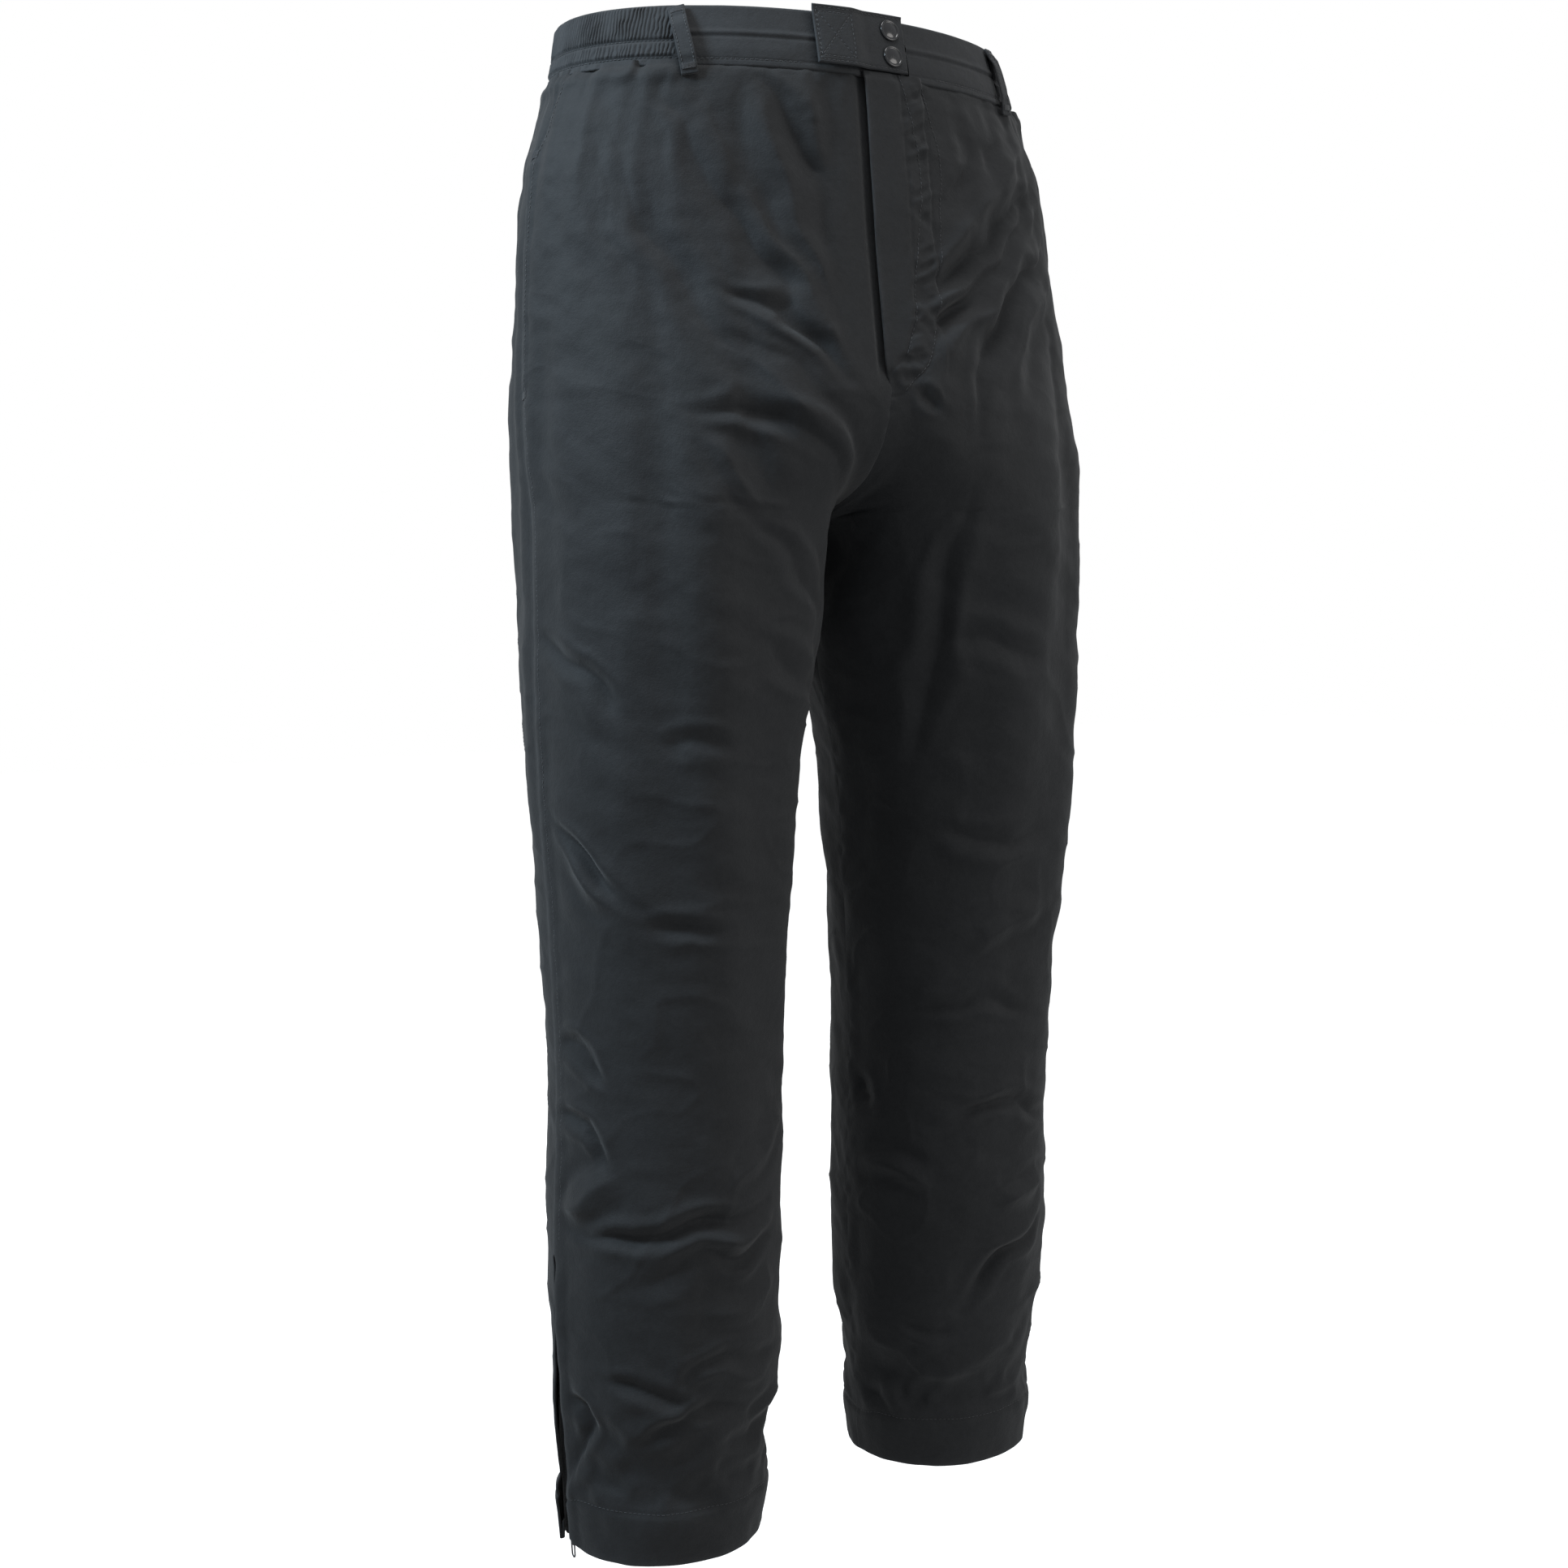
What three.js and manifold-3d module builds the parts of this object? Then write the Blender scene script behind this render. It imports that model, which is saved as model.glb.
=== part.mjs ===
// Insulated ski trousers: shell, lining, waistband, belt loops, closure tab, fly, pockets and hem zips.
// Units are millimetres, +Z up, the front faces -Y and +X is the wearer's left.
// The origin is the centre of the waist, in the plane of the waistband's top edge.
import * as THREE from 'three';
import Module from 'manifold-3d';

const manifold = await Module();
manifold.setup();

// ---- Driving dimensions ----

// The trouser's outer form as level rings, each half being an ellipse cut off at the centre plane:
// height, centre across, centre front to back, half width, depth in front, depth behind.
const RINGS = [
  [0, 0, 0, 170, 109, 109],
  [-40, 0, -7, 180, 112, 115],
  [-100, 0, -14, 201, 113.6, 124],
  [-170, 6, -19, 202, 118.7, 133],
  [-250, 35, -23, 177, 128.6, 138],
  [-300, 80, -25, 132, 128, 134],
  [-335, 104.5, -28, 104.5, 123, 125],
  [-420, 110, -32, 101.5, 115, 116],
  [-520, 120, -36, 92, 105, 106],
  [-620, 121.5, -36, 85.5, 96, 97],
  [-720, 123.5, -36, 80.5, 88, 89],
  [-840, 126, -36, 83, 84, 86],
  [-950, 127.3, -36, 77, 75.5, 76],
  [-1050, 129.5, -36, 70.5, 66, 66],
];
const CROTCH = -335;
const HEM = -1050;
const STAGGER = 21;           // the left leg hangs this far back, the right leg this far forward
const SEAM = 0.2;             // half of the gap left at each seam
const GAP = 0.3;              // clearance between pieces that touch

const SHELL = 3;              // padded outer panel
const LINING = 1;
const AIR = 2.6;              // loft between the shell's inner face and the lining
const FACING = 1;             // waistband's inner facing, this far behind the band
const LINING_TOP = -44;
const LINING_END = -835;      // the hem facing takes over from here down
const FLY_CLEAR = 0.075;      // share of a half round, from the centre front, kept free for the fly

const BAND_HEIGHT = 40;
const CASING = 1.4;           // one layer of the elasticated waistband
const ELASTIC = 1.3;
const LOOP_AT = 0.256;        // where the front belt loops sit, as a share of a half round
const BACK_LOOP_AT = 0.76;
const LOOP = { width: 11.5, top: -2, bottom: -48, thick: 1.4, ease: 4.8 };
const LOOP_LEAN = 12;         // the right front loop's foot is pulled this far towards the fly

const TAB = { free: -39, hinge: 32, top: 3.5, bottom: -36.5, thick: 2.4, sunk: -1, raised: 2.9 };
const TAB_STEP = { low: 2, high: -12 };       // across here the tab climbs onto the other side
const UNDERLAP = { end: 30, depth: 3.9, from: -12, to: -1 };
const PATCH = { from: -36, to: -13, top: -3, bottom: -31, thick: 1 };
const SNAP = { across: 19.5, heights: [-8.5, -26.5], cap: 7.5, ring: 5.5, bore: 2.9, post: 2.4 };

const FLY = { top: -41, bottom: -275, zip: 12, zipTop: -46, zipBottom: -236, slack: 6.7 };
const POCKET = { top: -95, bottom: -255, mouth: 2.6, front: -78, rear: 8, floor: -300, roof: -86 };
const HEM_ZIP = { top: -845, bottom: -1046, slot: 5, tape: 13, facing: 14.8 };

const ZIP = { tooth: 1.5, split: 1.2, teeth: 2.6, tape: 0.8 };
const SLIDER = { half: 4.2, plate: 1.2, length: 9, web: 0.6, bridge: 1.6 };
const ARCH = { open: 2.6, flat: 1.4, roof: 0.8 };      // room under the slider's bridge
const PULL = { half: 3, thick: 1, length: 21, window: 4.6, slot: 1.6 };

// ---- Materials ----

function finish(color, roughness, metalness = 0) {
  return new THREE.MeshStandardMaterial({ color, roughness, metalness });
}
const SHELL_NYLON = finish(0x2b2e31, 0.72);
const LINING_TAFFETA = finish(0x1d1e20, 0.6);
const BAND_NYLON = finish(0x26292c, 0.72);
const ELASTIC_WEB = finish(0x141415, 0.9);
const TAPE = finish(0x151617, 0.85);
const TEETH_PLASTIC = finish(0x0f1011, 0.4);
const SLIDER_METAL = finish(0x1a1b1d, 0.35, 0.8);
const SNAP_METAL = finish(0x0c0c0e, 0.2, 0.6);
const HOOK_NYLON = finish(0x101011, 0.95);

// ---- The form ----

// Smooth curve through the rings, for one of their columns.
function ringValue(column, z) {
  const last = RINGS.length - 1;
  const height = Math.min(0, Math.max(HEM, z));
  let i = 0;
  while (i < last - 1 && height < RINGS[i + 1][0]) i += 1;
  const slope = (k) => {
    const a = RINGS[Math.max(0, k - 1)];
    const b = RINGS[Math.min(last, k + 1)];
    return (b[column] - a[column]) / (b[0] - a[0]);
  };
  const span = RINGS[i + 1][0] - RINGS[i][0];
  const s = (height - RINGS[i][0]) / span;
  const from = RINGS[i][column];
  const to = RINGS[i + 1][column];
  return from * (1 + 2 * s) * (1 - s) ** 2 + to * s * s * (3 - 2 * s)
    + span * (slope(i) * s * (1 - s) ** 2 - slope(i + 1) * s * s * (1 - s));
}

// Half of the angle that one side's ellipse covers above the crotch, where the centre plane cuts it.
function ringReach(z) {
  if (z <= CROTCH) return Math.PI;
  return Math.acos(Math.max(-1, -ringValue(1, z) / ringValue(3, z)));
}

// One side of the trousers: t runs 0 centre front or inseam, 0.5 outseam, 1 centre back or inseam.
function half(side) {
  return (t, z) => {
    const angle = ringReach(z) * (2 * t - 1);
    const width = ringValue(3, z);
    const depth = ringValue(angle < 0 ? 4 : 5, z);
    const sway = STAGGER * Math.max(0, (CROTCH - z) / (CROTCH - HEM));
    const x = ringValue(1, z) + width * Math.cos(angle);
    const y = ringValue(2, z) + depth * Math.sin(angle) + side * sway;
    const normal = new THREE.Vector2(Math.cos(angle) / width, Math.sin(angle) / depth).normalize();
    return { x: side * x, y, normal: new THREE.Vector2(side * normal.x, normal.y), side };
  };
}

// Share of the half round that a distance in mm covers at the outseam.
function atOutseam(z, distance) {
  const depth = ringValue(distance < 0 ? 4 : 5, z);
  return 0.5 + distance / (2 * ringReach(z) * depth);
}

// The front between the hips, by distance across from the centre plane.
function front(x, z) {
  const side = x < 0 ? -1 : 1;
  const reach = ringReach(z);
  const angle = -Math.acos((Math.abs(x) - ringValue(1, z)) / ringValue(3, z));
  return half(side)((angle / reach + 1) / 2, z);
}

// The same front, with thickness measured straight back, for the pieces that cross the centre.
function flatFront(x, z) {
  const on = front(x, z);
  return { x, y: on.y, normal: new THREE.Vector2(0, -1), side: 0 };
}

function spread(from, to, steps) {
  return Array.from({ length: steps + 1 }, (_, i) => from + (to - from) * i / steps);
}

function smoothStep(value) {
  const s = Math.min(1, Math.max(0, value));
  return s * s * (3 - 2 * s);
}

// ---- Making solids ----

function meshGeometry(points, faces) {
  const geometry = new THREE.BufferGeometry();
  geometry.setAttribute('position', new THREE.Float32BufferAttribute(points.flat(), 3));
  geometry.setIndex(faces.flat());
  return geometry;
}

function signedVolume(points, faces) {
  return faces.reduce((sum, [a, b, c]) => {
    const [p, q, r] = [points[a], points[b], points[c]];
    return sum + p[0] * (q[1] * r[2] - q[2] * r[1]) + p[1] * (q[2] * r[0] - q[0] * r[2])
      + p[2] * (q[0] * r[1] - q[1] * r[0]);
  }, 0);
}

// A closed sheet between two offsets of a surface, over a grid of rows (heights) and columns.
// The columns may change with height, and keep(row, column) can leave grid cells out.
function sheet({ rows, columns, place, outer, inner, keep = () => true }) {
  const columnsAt = typeof columns === 'function' ? columns : () => columns;
  const width = columnsAt(rows[0]).length;
  const points = [];
  for (const offset of [outer, inner]) {
    for (const z of rows) {
      for (const u of columnsAt(z)) {
        const on = place(u, z);
        const away = typeof offset === 'function' ? offset(u, z) : offset;
        const x = on.x + on.normal.x * away;
        const y = on.y + on.normal.y * away;
        points.push([on.side === 0 ? x : on.side * Math.max(SEAM, on.side * x), y, z]);
      }
    }
  }
  const layer = rows.length * width;
  const at = (i, j) => i * width + j;
  const kept = (i, j) => i >= 0 && j >= 0 && i < rows.length - 1 && j < width - 1 && keep(i, j);
  const faces = [];
  const wall = (a, b) => faces.push([a, b, b + layer], [a, b + layer, a + layer]);
  for (let i = 0; i < rows.length - 1; i += 1) {
    for (let j = 0; j < width - 1; j += 1) {
      if (!kept(i, j)) continue;
      const [a, b, c, d] = [at(i, j), at(i, j + 1), at(i + 1, j + 1), at(i + 1, j)];
      faces.push([a, c, b], [a, d, c]);
      faces.push([a + layer, b + layer, c + layer], [a + layer, c + layer, d + layer]);
      if (!kept(i - 1, j)) wall(a, b);
      if (!kept(i, j + 1)) wall(b, c);
      if (!kept(i + 1, j)) wall(c, d);
      if (!kept(i, j - 1)) wall(d, a);
    }
  }
  const used = [...new Set(faces.flat())];
  const renumber = new Map(used.map((old, k) => [old, k]));
  const solidPoints = used.map((old) => points[old]);
  const solidFaces = faces.map((face) => face.map((old) => renumber.get(old)));
  if (signedVolume(solidPoints, solidFaces) < 0) solidFaces.forEach((face) => face.reverse());
  return meshGeometry(solidPoints, solidFaces);
}

function toManifold(geometry) {
  const position = geometry.getAttribute('position');
  const index = geometry.getIndex();
  const welded = new Map();
  const points = [];
  const number = [];
  for (let i = 0; i < position.count; i += 1) {
    const point = [position.getX(i), position.getY(i), position.getZ(i)];
    const key = point.map((value) => Math.round(value * 1e4)).join();
    if (!welded.has(key)) {
      welded.set(key, points.length);
      points.push(point);
    }
    number.push(welded.get(key));
  }
  const corners = index ? Array.from(index.array) : number.map((_, i) => i);
  const triangles = [];
  for (let i = 0; i < corners.length; i += 3) {
    const face = corners.slice(i, i + 3).map((corner) => number[corner]);
    if (new Set(face).size === 3) triangles.push(face);
  }
  return new manifold.Manifold(new manifold.Mesh({
    numProp: 3,
    vertProperties: new Float32Array(points.flat()),
    triVerts: new Uint32Array(triangles.flat()),
  }));
}

function fromManifold(solid) {
  const mesh = solid.getMesh();
  const geometry = new THREE.BufferGeometry();
  geometry.setAttribute('position', new THREE.BufferAttribute(mesh.vertProperties, 3));
  geometry.setIndex(Array.from(mesh.triVerts));
  return geometry;
}

function outline(points) {
  return new THREE.Shape(points.map(([x, y]) => new THREE.Vector2(x, y)));
}

function prism(shape, depth) {
  return new THREE.ExtrudeGeometry(shape, { depth, bevelEnabled: false, curveSegments: 6 });
}

const trousers = new THREE.Group();

function add(name, geometry, material, parent = trousers) {
  const mesh = new THREE.Mesh(geometry, material);
  mesh.name = name;
  parent.add(mesh);
  return mesh;
}

// ---- Shell panels ----

// Half of the opening left at the outseam: a sewn seam, the hand pocket's mouth, or the hem zip.
function outseamOpening(z) {
  if (z < POCKET.top && z > POCKET.bottom) return POCKET.mouth;
  if (z < HEM_ZIP.top) return HEM_ZIP.slot;
  return SEAM;
}

function panelRows() {
  return [-BAND_HEIGHT - 2 * SEAM, -66, POCKET.top, POCKET.top - 1, -132, -170, -210, POCKET.bottom,
    POCKET.bottom - 1, -280, -303, -319, -330, CROTCH, -352, -390, -450, -520, -600, -700, -780,
    HEM_ZIP.top, HEM_ZIP.top - 1, -900, -950, -1000, HEM];
}

function shellPanels(side, name) {
  const seamShare = (z) => atOutseam(z, SEAM) - 0.5;
  const frontColumns = (z) => [...spread(seamShare(z), atOutseam(z, -24), 8),
    atOutseam(z, -14), atOutseam(z, -outseamOpening(z))];
  const backColumns = (z) => [atOutseam(z, outseamOpening(z)), atOutseam(z, 14),
    ...spread(atOutseam(z, 24), 1 - seamShare(z), 8)];
  const panel = { rows: panelRows(), place: half(side), outer: 0, inner: -SHELL };
  add(`front_panel_${name}`, sheet({ ...panel, columns: frontColumns }), SHELL_NYLON);
  add(`back_panel_${name}`, sheet({ ...panel, columns: backColumns }), SHELL_NYLON);
}

// ---- Lining and hem facings ----

function liningLeg(side, name) {
  const rows = [LINING_TOP, -66, POCKET.top + 4, -132, -170, -215, POCKET.bottom - 4, FLY.bottom - 5, -303,
    -319, -330, CROTCH, -352, -390, -450, -520, -600, -700, -780, LINING_END];
  const slotRows = [POCKET.top + 4, POCKET.bottom - 4];
  const flyRow = rows.indexOf(FLY.bottom - 5);
  const columns = (z) => {
    const edge = atOutseam(z, SEAM) - 0.5;
    const mouth = POCKET.mouth + 0.4;
    return [edge, ...spread(FLY_CLEAR, atOutseam(z, -24), 6), atOutseam(z, -mouth),
      atOutseam(z, mouth), ...spread(atOutseam(z, 24), 1 - edge, 8)];
  };
  const keep = (i, j) => {
    const inMouth = j === 8 && rows[i] <= slotRows[0] && rows[i] > slotRows[1];
    const inFly = j === 0 && i < flyRow;
    return !inMouth && !inFly;
  };
  const inner = -SHELL - AIR - LINING;
  const geometry = sheet({ rows, columns, place: half(side), outer: -SHELL - AIR, inner, keep });
  add(`lining_${name}`, geometry, LINING_TAFFETA);
}

function hemFacings(side, name) {
  const rows = [LINING_END - 3, -890, -950, -1000, HEM + 2];
  const ease = 0.012;
  const band = { rows, place: half(side), outer: -SHELL - AIR, inner: -SHELL - AIR - LINING };
  const frontEdge = (z) => spread(ease, atOutseam(z, -HEM_ZIP.facing), 7);
  const backEdge = (z) => spread(atOutseam(z, HEM_ZIP.facing), 1 - ease, 7);
  add(`hem_facing_front_${name}`, sheet({ ...band, columns: frontEdge }), SHELL_NYLON);
  add(`hem_facing_back_${name}`, sheet({ ...band, columns: backEdge }), SHELL_NYLON);
}

// ---- Waistband ----

function bandRows(inset = 0) {
  return spread(-inset, -BAND_HEIGHT + inset, 3);
}

// The wearer's right front runs on behind the tab as a sunk underlap that carries the studs.
function underlapDepth(x) {
  return -UNDERLAP.depth * smoothStep((x - UNDERLAP.from) / (UNDERLAP.to - UNDERLAP.from));
}

function waistbandFronts() {
  const edge = (z) => ringValue(3, z) * Math.cos(Math.PI / 2 * (1 - 2 * LOOP_AT)) - 2 * SEAM;
  const outer = (x) => underlapDepth(x);
  const inner = (x) => underlapDepth(x) - SHELL;
  const rightColumns = (z) => [...spread(-edge(z), -14, 7), -10, -7, -4, -1, ...spread(6, UNDERLAP.end, 3)];
  const place = (x, z) => ({ ...front(x, z), side: 0 });
  add('waistband_front_right', sheet({ rows: bandRows(), columns: rightColumns, place, outer, inner }),
    BAND_NYLON);
  const leftColumns = (z) => spread(TAB.hinge + 0.6, edge(z), 7);
  add('waistband_front_left', sheet({ rows: bandRows(), columns: leftColumns, place, outer: 0, inner: -SHELL }),
    BAND_NYLON);
}

function waistbandSide(side, name) {
  const columns = spread(LOOP_AT + 0.003, BACK_LOOP_AT - 0.001, 10);
  const place = half(side);
  const casing = sheet({ rows: bandRows(), columns, place, outer: 0, inner: -CASING });
  add(`waistband_side_${name}`, casing, BAND_NYLON);
  const inner = -CASING - GAP - ELASTIC + 0.05;
  const elastic = sheet({ rows: bandRows(4), columns, place, outer: -CASING - GAP, inner });
  add(`waist_elastic_${name}`, elastic, ELASTIC_WEB);
  const facingColumns = spread(FLY_CLEAR, 1 - 0.002, 16);
  const facing = {
    rows: spread(-1, LINING_TOP + 0.5, 2), columns: facingColumns, place,
    outer: -SHELL - FACING, inner: -SHELL - FACING - LINING,
  };
  add(`waistband_facing_${name}`, sheet(facing), LINING_TAFFETA);
}

function waistbandBack() {
  const columns = spread(BACK_LOOP_AT + 0.001, 2 - BACK_LOOP_AT - 0.001, 10);
  const place = (t, z) => ({ ...half(t <= 1 ? 1 : -1)(t <= 1 ? t : 2 - t, z), side: 0 });
  add('waistband_back', sheet({ rows: bandRows(), columns, place, outer: 0, inner: -SHELL }), BAND_NYLON);
}

// A belt loop is sewn down at both ends and stands off the band in between.
function beltLoop(name, place, from, to, lean = 0) {
  const rows = spread(LOOP.top, LOOP.bottom, 10);
  const columns = (z) => [from, to].map((u) => u - lean * (z - LOOP.top) / (LOOP.bottom - LOOP.top));
  const standOff = (_, z) => {
    const along = (z - LOOP.top) / (LOOP.bottom - LOOP.top);
    return GAP + LOOP.ease * smoothStep((0.5 - Math.abs(along - 0.5)) / 0.3);
  };
  const outer = (u, z) => standOff(u, z) + LOOP.thick;
  add(name, sheet({ rows, columns, place, outer, inner: standOff }), BAND_NYLON);
}

function beltLoops() {
  for (const [side, name] of [[-1, 'right'], [1, 'left']]) {
    const halfRound = 2 * 230;
    const share = LOOP.width / halfRound / 2;
    const lean = side < 0 ? LOOP_LEAN / halfRound : 0;
    beltLoop(`belt_loop_front_${name}`, half(side), LOOP_AT - share, LOOP_AT + share, lean);
    beltLoop(`belt_loop_back_${name}`, half(side), BACK_LOOP_AT - share, BACK_LOOP_AT + share);
  }
  const back = (x, z) => ({ x, y: half(1)(1, z).y, normal: new THREE.Vector2(0, 1), side: 0 });
  beltLoop('belt_loop_centre_back', back, -LOOP.width / 2, LOOP.width / 2);
}

// ---- Closure tab with its hook patch and snaps ----

function tabFloor(x) {
  const climb = smoothStep((TAB_STEP.low - x) / (TAB_STEP.low - TAB_STEP.high));
  return TAB.sunk + (TAB.raised - TAB.sunk) * climb;
}

function waistTab() {
  const place = (x, z) => ({ ...front(x, z), side: 0 });
  const columns = [...spread(TAB.free, TAB_STEP.high, 4), -8.5, -5, -1.5, ...spread(TAB_STEP.low, TAB.hinge, 5)];
  const rows = [TAB.top, 0, ...spread(-9, TAB.bottom, 3)];
  const outer = (x) => tabFloor(x) + TAB.thick;
  add('waist_tab', sheet({ rows, columns, place, outer, inner: tabFloor }), BAND_NYLON);
  const patch = { rows: spread(PATCH.top, PATCH.bottom, 2), columns: spread(PATCH.from, PATCH.to, 4), place };
  const hookTop = TAB.raised - GAP;
  add('hook_patch', sheet({ ...patch, outer: hookTop, inner: hookTop - PATCH.thick }), HOOK_NYLON);
  add('loop_patch', sheet({ ...patch, outer: GAP + PATCH.thick, inner: GAP }), HOOK_NYLON);
}

// A group whose Y axis points out of the front at this place, square to the sloping band.
function frontFrame(x, z) {
  const [low, on, high] = [-5, 0, 5].map((rise) => {
    const spot = front(x, z + rise);
    return new THREE.Vector3(spot.x, spot.y, z + rise);
  });
  const up = high.sub(low).normalize();
  const side = front(x + 5, z);
  const across = new THREE.Vector3(side.x, side.y, z).sub(on);
  const out = across.cross(up).normalize();
  const frame = new THREE.Group();
  new THREE.Matrix4().makeBasis(out.clone().cross(up), out, up).setPosition(on)
    .decompose(frame.position, frame.quaternion, frame.scale);
  trousers.add(frame);
  return frame;
}

function turned(profile) {
  return new THREE.LatheGeometry(profile.map(([r, y]) => new THREE.Vector2(r, y)), 20);
}

function snaps() {
  const capFloor = TAB.sunk + TAB.thick + 2 * GAP;
  const cap = [[0, capFloor], [SNAP.cap, capFloor], [SNAP.cap, capFloor + 0.9], [SNAP.cap - 0.7, capFloor + 1.4],
    [3, capFloor + 1.75], [0, capFloor + 1.8]];
  const ringTop = TAB.sunk - GAP;
  const ringFloor = ringTop - 1.3;
  const ring = [[SNAP.bore, ringFloor], [SNAP.ring, ringFloor], [SNAP.ring, ringTop], [SNAP.bore, ringTop],
    [SNAP.bore, ringFloor]];
  const studFloor = -UNDERLAP.depth + GAP;
  const base = studFloor + 0.6;
  const postTop = ringTop - 0.3;
  const stud = [[0, studFloor], [SNAP.ring - 0.3, studFloor], [SNAP.ring - 0.3, base], [SNAP.post, base],
    [SNAP.post, postTop], [0, postTop]];
  SNAP.heights.forEach((z, i) => {
    const frame = frontFrame(SNAP.across, z);
    const place = ['upper', 'lower'][i];
    add(`snap_cap_${place}`, turned(cap), SNAP_METAL, frame);
    add(`snap_socket_${place}`, turned(ring), SNAP_METAL, frame);
    add(`snap_stud_${place}`, turned(stud), SNAP_METAL, frame);
  });
}

// ---- Zip parts, in a frame with X across the zip, Y outward and Z up along it ----

// Two plates joined by a thin web that runs between the rows of teeth, with a bridge for the pull.
function zipSlider(middle, arch) {
  const { half: w, plate, length, web, bridge } = SLIDER;
  const inner = ZIP.teeth / 2 + GAP;
  const top = inner + plate;
  const body = prism(outline([[-w, inner], [-w, top], [w, top], [w, inner], [web / 2, inner], [web / 2, -inner],
    [w, -inner], [w, -top], [-w, -top], [-w, -inner], [-web / 2, -inner], [-web / 2, inner]]), length);
  body.translate(0, middle, 0);
  const roof = top + arch + ARCH.roof;
  const arc = prism(outline([[0.6, top - 0.5], [0.6, roof], [length - 0.6, roof], [length - 0.6, top - 0.5],
    [length - 1.6, top - 0.5], [length - 1.6, top + arch], [1.6, top + arch], [1.6, top - 0.5]]), bridge);
  const turn = new THREE.Matrix4().makeBasis(new THREE.Vector3(0, 0, 1), new THREE.Vector3(0, 1, 0),
    new THREE.Vector3(-1, 0, 0));
  arc.applyMatrix4(turn);
  arc.translate(bridge / 2, middle, 0);
  return fromManifold(toManifold(body).add(toManifold(arc)));
}

// Where the pull's crossbar runs under the slider's bridge.
function pullAxis(middle, arch) {
  return middle + ZIP.teeth / 2 + GAP + SLIDER.plate + arch / 2;
}

// A flat pull that hangs from its crossbar, with a window for the bridge and an oval finger hole.
function zipPull() {
  const { half: w, thick, length, window: gap, slot } = PULL;
  const shape = new THREE.Shape();
  shape.moveTo(-w, thick / 2);
  shape.lineTo(-w, -length * 0.45);
  shape.lineTo(-w * 0.8, -length + 2.4);
  shape.absarc(0, -length + w * 0.8, w * 0.8, Math.PI, Math.PI * 2, false);
  shape.lineTo(w, -length * 0.45);
  shape.lineTo(w, thick / 2);
  const bridgeHole = outline([[-slot, -thick / 2], [slot, -thick / 2], [slot, -gap], [-slot, -gap]]);
  shape.holes.push(bridgeHole);
  const oval = new THREE.Path();
  oval.absellipse(0, -length + 6.4, 1.1, 3.6, 0, Math.PI * 2, true);
  shape.holes.push(oval);
  const geometry = prism(shape, thick);
  geometry.translate(0, 0, -thick / 2);
  geometry.applyMatrix4(new THREE.Matrix4().makeRotationX(Math.PI / 2));
  return geometry;
}

function toothRow(sign, middle, bottom, top) {
  const near = ZIP.split / 2;
  const far = near + ZIP.tooth;
  const y = ZIP.teeth / 2;
  const row = prism(outline([[sign * near, -y], [sign * far, -y], [sign * far, y], [sign * near, y]]), top - bottom);
  row.translate(0, middle, bottom);
  return row;
}

function zipFrame(bottom, top, out) {
  const up = top.clone().sub(bottom).normalize();
  const across = out.clone().cross(up).normalize();
  const outward = up.clone().cross(across);
  const frame = new THREE.Group();
  new THREE.Matrix4().makeBasis(across, outward, up).setPosition(bottom)
    .decompose(frame.position, frame.quaternion, frame.scale);
  trousers.add(frame);
  return frame;
}

// ---- Fly ----

function flyStrips() {
  const strip = (name, from, to, outer, inner, bottom, material) => {
    const rows = spread(FLY.top - 0.6, bottom, 7);
    add(name, sheet({ rows, columns: spread(from, to, 5), place: flatFront, outer, inner }), material);
  };
  strip('fly_facing', FLY.zip + 7, FLY.zip + 26, -4.5, -6.4, FLY.bottom + 10, SHELL_NYLON);
  strip('fly_underlap', -20, FLY.zip - 7, -4.5, -7.8, FLY.bottom + 10, SHELL_NYLON);
  const shieldTop = (x) => -10.6 - 3 * smoothStep((x + 1) / 7);
  strip('fly_shield', -22, FLY.zip + 18, shieldTop, (x) => shieldTop(x) - 1, FLY.bottom + 2, LINING_TAFFETA);
}

function flyZip() {
  const foot = new THREE.Vector3(FLY.zip, front(0, FLY.zipBottom).y, FLY.zipBottom);
  const head = new THREE.Vector3(FLY.zip, front(0, FLY.zipTop).y, FLY.zipTop);
  const frame = zipFrame(foot, head, new THREE.Vector3(0, -1, 0));
  const length = head.distanceTo(foot);
  const middle = -FLY.slack - SLIDER.plate - GAP - ZIP.teeth / 2;
  for (const [name, sign, reach] of [['right', 1, 14], ['left', -1, 15]]) {
    add(`fly_zip_teeth_${name}`, toothRow(sign, middle, 1, length), TEETH_PLASTIC, frame);
    const near = ZIP.split / 2 + ZIP.tooth + GAP;
    const half = ZIP.tape / 2;
    const tape = prism(outline([[sign * near, -half], [sign * reach, -half], [sign * reach, half],
      [sign * near, half]]), length);
    tape.translate(0, middle, 0);
    add(`fly_zip_tape_${name}`, tape, TAPE, frame);
  }
  const slider = zipSlider(middle, ARCH.flat);
  slider.translate(0, 0, length - SLIDER.length);
  add('fly_zip_slider', slider, SLIDER_METAL, frame);
  const pull = zipPull();
  pull.translate(0, pullAxis(middle, ARCH.flat), length - SLIDER.length / 2);
  add('fly_zip_pull', pull, SLIDER_METAL, frame);
}

// ---- Hand pockets: a flat outer cloth, slit at the mouth, and an inner cloth dished to hold a hand ----

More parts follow.
